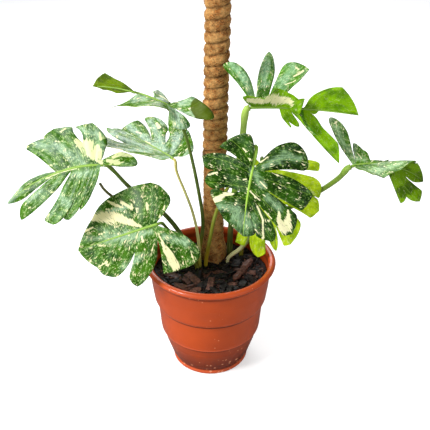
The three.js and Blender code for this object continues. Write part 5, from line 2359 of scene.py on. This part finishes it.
@dataclass
class SoilBed:
    """Lumpy top of the potting mix with bark chips spread over it."""

    radius: float = 114.5
    rings: int = 46
    spokes: int = 120
    skirt: float = 40.0
    skirt_taper: float = 0.965
    pole_reach: float = 27.0
    sunk: float = 1.5
    steepest: float = 0.2
    tone: float = 0.15
    lump_size: float = 17.0
    lump_slice: float = 0.7
    lump_layers: tuple[Pair, ...] = ((1.0, 3.0), (3.1, 1.6))

    def build(self, material: bpy.types.Material) -> bpy.types.Object:
        """The soil's object.

        Args:
            material: The piece's material.

        Returns:
            The object.
        """
        count = self.spokes
        points: list[Any] = [(0, 0, SOIL_TOP)]
        for ring in range(1, self.rings + 1):
            for x, y, _ in circle(self.radius * ring / self.rings, 0.0, count):
                spot = Vector((x / self.lump_size, y / self.lump_size, self.lump_slice))
                points.append((x, y, SOIL_TOP - self.sunk + lumps(spot, self.lump_layers)))
        low = SOIL_TOP - self.skirt
        points += [(x * self.skirt_taper, y * self.skirt_taper, low) for x, y, _ in points[-count:]]
        faces = [[0, 1 + k, 1 + (k + 1) % count] for k in range(count)]
        faces += [[a, d, c, b] for a, b, c, d in ring_faces(self.rings + 1, count, first=1)]
        faces.append(list(range(len(points) - count, len(points)))[::-1])
        made = mesh_object("potting_mix", points, faces, [material])
        set_values(made, "tone", [self.tone] * len(points))
        return made

    def top_only(self, soil: bpy.types.Object, reach: float) -> bpy.types.Object:
        """A copy of the top, out to a reach in millimetres, for spreading chips.

        Args:
            soil: The soil's object.
            reach: How far out the ground goes, in millimetres.

        Returns:
            The ground's object.
        """
        ground = scene_object("chip_ground", soil.data.copy())
        pole = Vector(pole_centre(SOIL_TOP))
        work = bmesh.new()
        work.from_mesh(ground.data)
        far = []
        for face in work.faces:
            spot = face.calc_center_median().to_2d()
            near_pole = (spot / MM - pole).length < self.pole_reach
            if spot.length > reach * MM or face.normal.z < self.steepest or near_pole:
                far.append(face)
        bmesh.ops.delete(work, geom=far, context="FACES")
        work.to_mesh(ground.data)
        work.free()
        return ground

    def spread(
        self, soil: bpy.types.Object, name: str, shapes: bpy.types.Collection, reach: float,
        **values: Any,
    ) -> bpy.types.Object:
        """Spreads shapes over the top of the soil.

        Args:
            soil: The soil's object.
            name: The new piece's name.
            shapes: The shapes to spread.
            reach: How far out from the middle they lie, in millimetres.
            values: The spreading's inputs by name.

        Returns:
            The spread shapes as one piece.
        """
        ground = self.top_only(soil, reach)
        made = Scatter(f"spread {shapes.name}", shapes, lay=False).grow(
            name, ground, Swing=3.1, Material=soil.data.materials[0], **values
        )
        bpy.data.objects.remove(ground)
        return made


@dataclass(frozen=True)
class LongChip:
    """One long split bark chip that lies from its start to its end."""

    start: Size = (46, -38, 209)
    end: Size = (84, 28, 214)
    width: float = 14.0
    thick: float = 9.0
    rows: int = 22
    sides: int = 8
    taper: float = 0.12
    blunt: float = 0.25
    thin: float = 0.4
    jag: float = 0.35
    jag_slice: float = 2.2
    jags: Pair = (3.1, 9.0)

    def build(self, material: bpy.types.Material) -> bpy.types.Object:
        """The chip's object.

        Args:
            material: The piece's material.

        Returns:
            The object.
        """
        first, last = np.array(self.start, float), np.array(self.end, float)
        along = (last - first) / np.linalg.norm(last - first)
        beside = np.cross([0.0, 0.0, 1.0], along)
        points: list[Any] = []
        for row in range(self.rows):
            place = row / (self.rows - 1)
            middle = first + (last - first) * place
            full = min(min(place, 1 - place) / self.taper, 1.0) ** 0.5
            swell = full * (1 - self.blunt) + self.blunt
            rise = swell * (1 - self.thin) + self.thin
            for side in range(self.sides):
                turn = 2 * math.pi * (side + 0.5) / self.sides
                spot = Vector((side * self.jags[0], place * self.jags[1], self.jag_slice))
                jag = 1 + self.jag * noise.noise(spot)
                out = math.cos(turn) * self.width / 2 * swell * jag
                lift = math.sin(turn) * self.thick / 2 * rise * jag
                points.append(middle + beside * out + np.array([0.0, 0.0, lift]))
        faces = capped_faces(self.rows, self.sides)
        made = mesh_object("bark_long", points, faces, [material], smooth=False)
        set_values(made, "tone", [1.0] * len(points))
        return made


# The studio


@dataclass(frozen=True)
class Studio:
    """Camera at the photograph's viewing angle, pale floor and soft lights.

    Places are metres. Each light has its name, its place, its size and its power.
    """

    position: Size = (0.0, -1.08142, 0.95031)
    right: Size = (0.999975, -0.006147, 0.003504)
    up: Size = (0.0, 0.495239, 0.868757)
    ahead: Size = (0.007075, 0.868735, -0.495226)
    lens: float = 54.42
    sensor: float = 36.0
    floor_reach: float = 9000.0
    floor_tone: Colour = srgb(221, 221, 221)
    floor_mirrored: Colour = srgb(110, 110, 110)
    floor_glow: float = 0.45
    sky_tone: Colour = (0.95, 0.98, 1.0, 1.0)
    sky_light: float = 0.6
    sky_mirrored: float = 0.2
    aim: Size = (0.0, 0.0, 0.4)
    lights: tuple[tuple[str, Size, float, float], ...] = (
        ("key", (-1.7, -1.0, 1.7), 0.9, 72.0),
        ("fill", (1.8, -1.4, 1.3), 1.6, 4.0),
        ("back", (-0.5, 2.7, 2.0), 2.2, 70.0),
    )

    def camera(self) -> None:
        """Creates the camera and makes it the scene's."""
        data = bpy.data.cameras.new("camera")
        data.lens = self.lens
        data.sensor_width = self.sensor
        data.sensor_fit = "HORIZONTAL"
        made = scene_object("camera", data)
        back = tuple(-c for c in self.ahead)
        axes = Matrix((self.right, self.up, back)).transposed().to_4x4()
        made.matrix_world = Matrix.Translation(self.position) @ axes
        bpy.context.scene.camera = made

    def light(self, name: str, place: Size, size: float, power: float) -> None:
        """Adds a soft area light that faces the plant.

        Args:
            name: The light's name.
            place: Its place in metres.
            size: Its side in metres.
            power: Its power in watts.
        """
        data = bpy.data.lights.new(name, "AREA")
        data.size = size
        data.energy = power
        made = scene_object(name, data)
        made.location = place
        aim = Vector(self.aim) - Vector(place)
        made.rotation_euler = aim.to_track_quat("-Z", "Y").to_euler()

    def floor(self) -> None:
        """Pale paper floor, darker where it is mirrored."""
        far = self.floor_reach
        corners = [(-far, -far, 0), (far, -far, 0), (far, far, 0), (-far, far, 0)]
        material, wires, shader = Finish().open(
            "floor paper", Roughness=0.9, Emission_Color=(1, 1, 1, 1)
        )
        paths = wires.node("ShaderNodeLightPath").outputs
        wires.link(wires.times(paths["Is Camera Ray"], self.floor_glow), shader["Emission Strength"])
        tone = wires.mix(paths["Is Glossy Ray"], self.floor_tone, self.floor_mirrored)
        wires.link(tone, shader["Base Color"])
        floor = mesh_object("floor", corners, [[0, 1, 2, 3]], [material])

    def sky(self) -> None:
        """Soft even world light, dimmer where it is mirrored."""
        world = bpy.data.worlds.new("studio")
        world.use_nodes = True
        background = world.node_tree.nodes["Background"].inputs
        background["Color"].default_value = self.sky_tone
        wires = Wiring(world.node_tree)
        paths = wires.node("ShaderNodeLightPath").outputs
        dim = wires.ramp(paths["Is Glossy Ray"], 0.0, 1.0, self.sky_light, self.sky_mirrored)
        wires.link(wires.larger(dim, paths["Is Camera Ray"]), background["Strength"])
        bpy.context.scene.world = world

    def build(self) -> None:
        """Camera, floor, world and lights."""
        self.camera()
        self.floor()
        self.sky()
        for name, place, size, power in self.lights:
            self.light(name, place, size, power)
        bpy.context.scene.view_settings.view_transform = "Standard"


# The whole plant


def dress_soil(effects: Effects, shapes: Shapes) -> None:
    """The potting mix with its bark chips and crumbs.

    Args:
        effects: The masks that the finishes share.
        shapes: The maker of the small shapes.
    """
    bark = BarkFinish().material("bark", effects)
    bed = SoilBed()
    soil = bed.build(bark)
    large = shapes.chips("chips", least=(20, 8, 4), most=(44, 15, 8), count=10)
    small = shapes.chips("crumbs", least=(4, 2.5, 1.5), most=(9, 5, 3), count=8)
    chips = bed.spread(
        soil, "bark_chips", large, 88, Density=9000.0, Gap=0.0125, Smallest=0.7, Largest=1.1,
        Tilt=0.42, Sink=0.002, Seed=4,
    )
    crumbs = bed.spread(
        soil, "bark_crumbs", small, 107, Density=40000.0, Gap=0.0045, Smallest=0.6, Largest=1.3,
        Tilt=0.7, Sink=0.001, Seed=6,
    )
    place_piece(soil, "potting_mix", "soil")
    place_piece(chips, "potting_mix")
    place_piece(crumbs, "potting_mix")
    place_piece(LongChip().build(bark), "potting_mix")


def dress_pole(effects: Effects, shapes: Shapes) -> None:
    """The coir sleeve with its loose fibres, and the stake inside it.

    Args:
        effects: The masks that the finishes share.
        shapes: The maker of the small shapes.
    """
    coir = FibreFinish().material("coir", effects)
    sleeve = CoirPole().build(coir)
    hairs = Scatter("spread fibres", shapes.fibres(), lay=True).grow(
        "coir_fibres", sleeve, Density=110000.0, Gap=0.00182, Smallest=0.6, Largest=1.2,
        Swing=0.7, Tilt=0.22, Sink=0.0, Seed=9, Material=coir,
    )
    place_piece(sleeve, "coir", "pole_coir")
    place_piece(hairs, "coir")
    wood = WoodFinish().material("stake wood", effects)
    for material_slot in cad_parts["pole_stake"].material_slots:
        material_slot.material = wood


def dress_leaves(effects: Effects) -> None:
    """The blades, their stems and the aerial root.

    Args:
        effects: The masks that the finishes share.
    """
    leaves = {spec.name: Leaf(spec, effects) for spec in LEAVES}
    for name, leaf in leaves.items():
        blade = leaf.build()
        blade.name = name.replace("leaf_", "blade_")
        place_piece(blade, "blade", name)
    for spec in STEMS:
        material = spec.finish.material(spec.name.replace("_", " "), effects)
        stem = Stem(spec.name.replace("petiole", "stem"), material, spec.sheath, knee=0.22)
        ends = leaves[spec.leaf].stem_ends()
        place_piece(stem.build(spec.foot, spec.way, ends, spec.radii), spec.slot, spec.name)
    root = Stem("air_root", ROOT.material("air root", effects)).build(
        (-48, 8), ((-82, 18, 262), (-140, 20, 326), (-188, 13, 368), (-200, 6, 386)),
        [(-205, -2, 402)], (3.4, 3.2, 2.6),
    )
    place_piece(root, "root", "aerial_root")


def main() -> None:
    """Builds every piece in order."""
    logging.basicConfig(level=logging.INFO, format="%(message)s")
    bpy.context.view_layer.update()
    Studio().build()
    effects = Effects()
    shapes = Shapes(SHAPE_SEED)
    pot = Pot().build(PlasticFinish().material("terracotta plastic", effects))
    place_piece(pot, "terracotta_plastic", "pot")
    dress_soil(effects, shapes)
    dress_pole(effects, shapes)
    dress_leaves(effects)


if __name__ == "__main__":
    main()
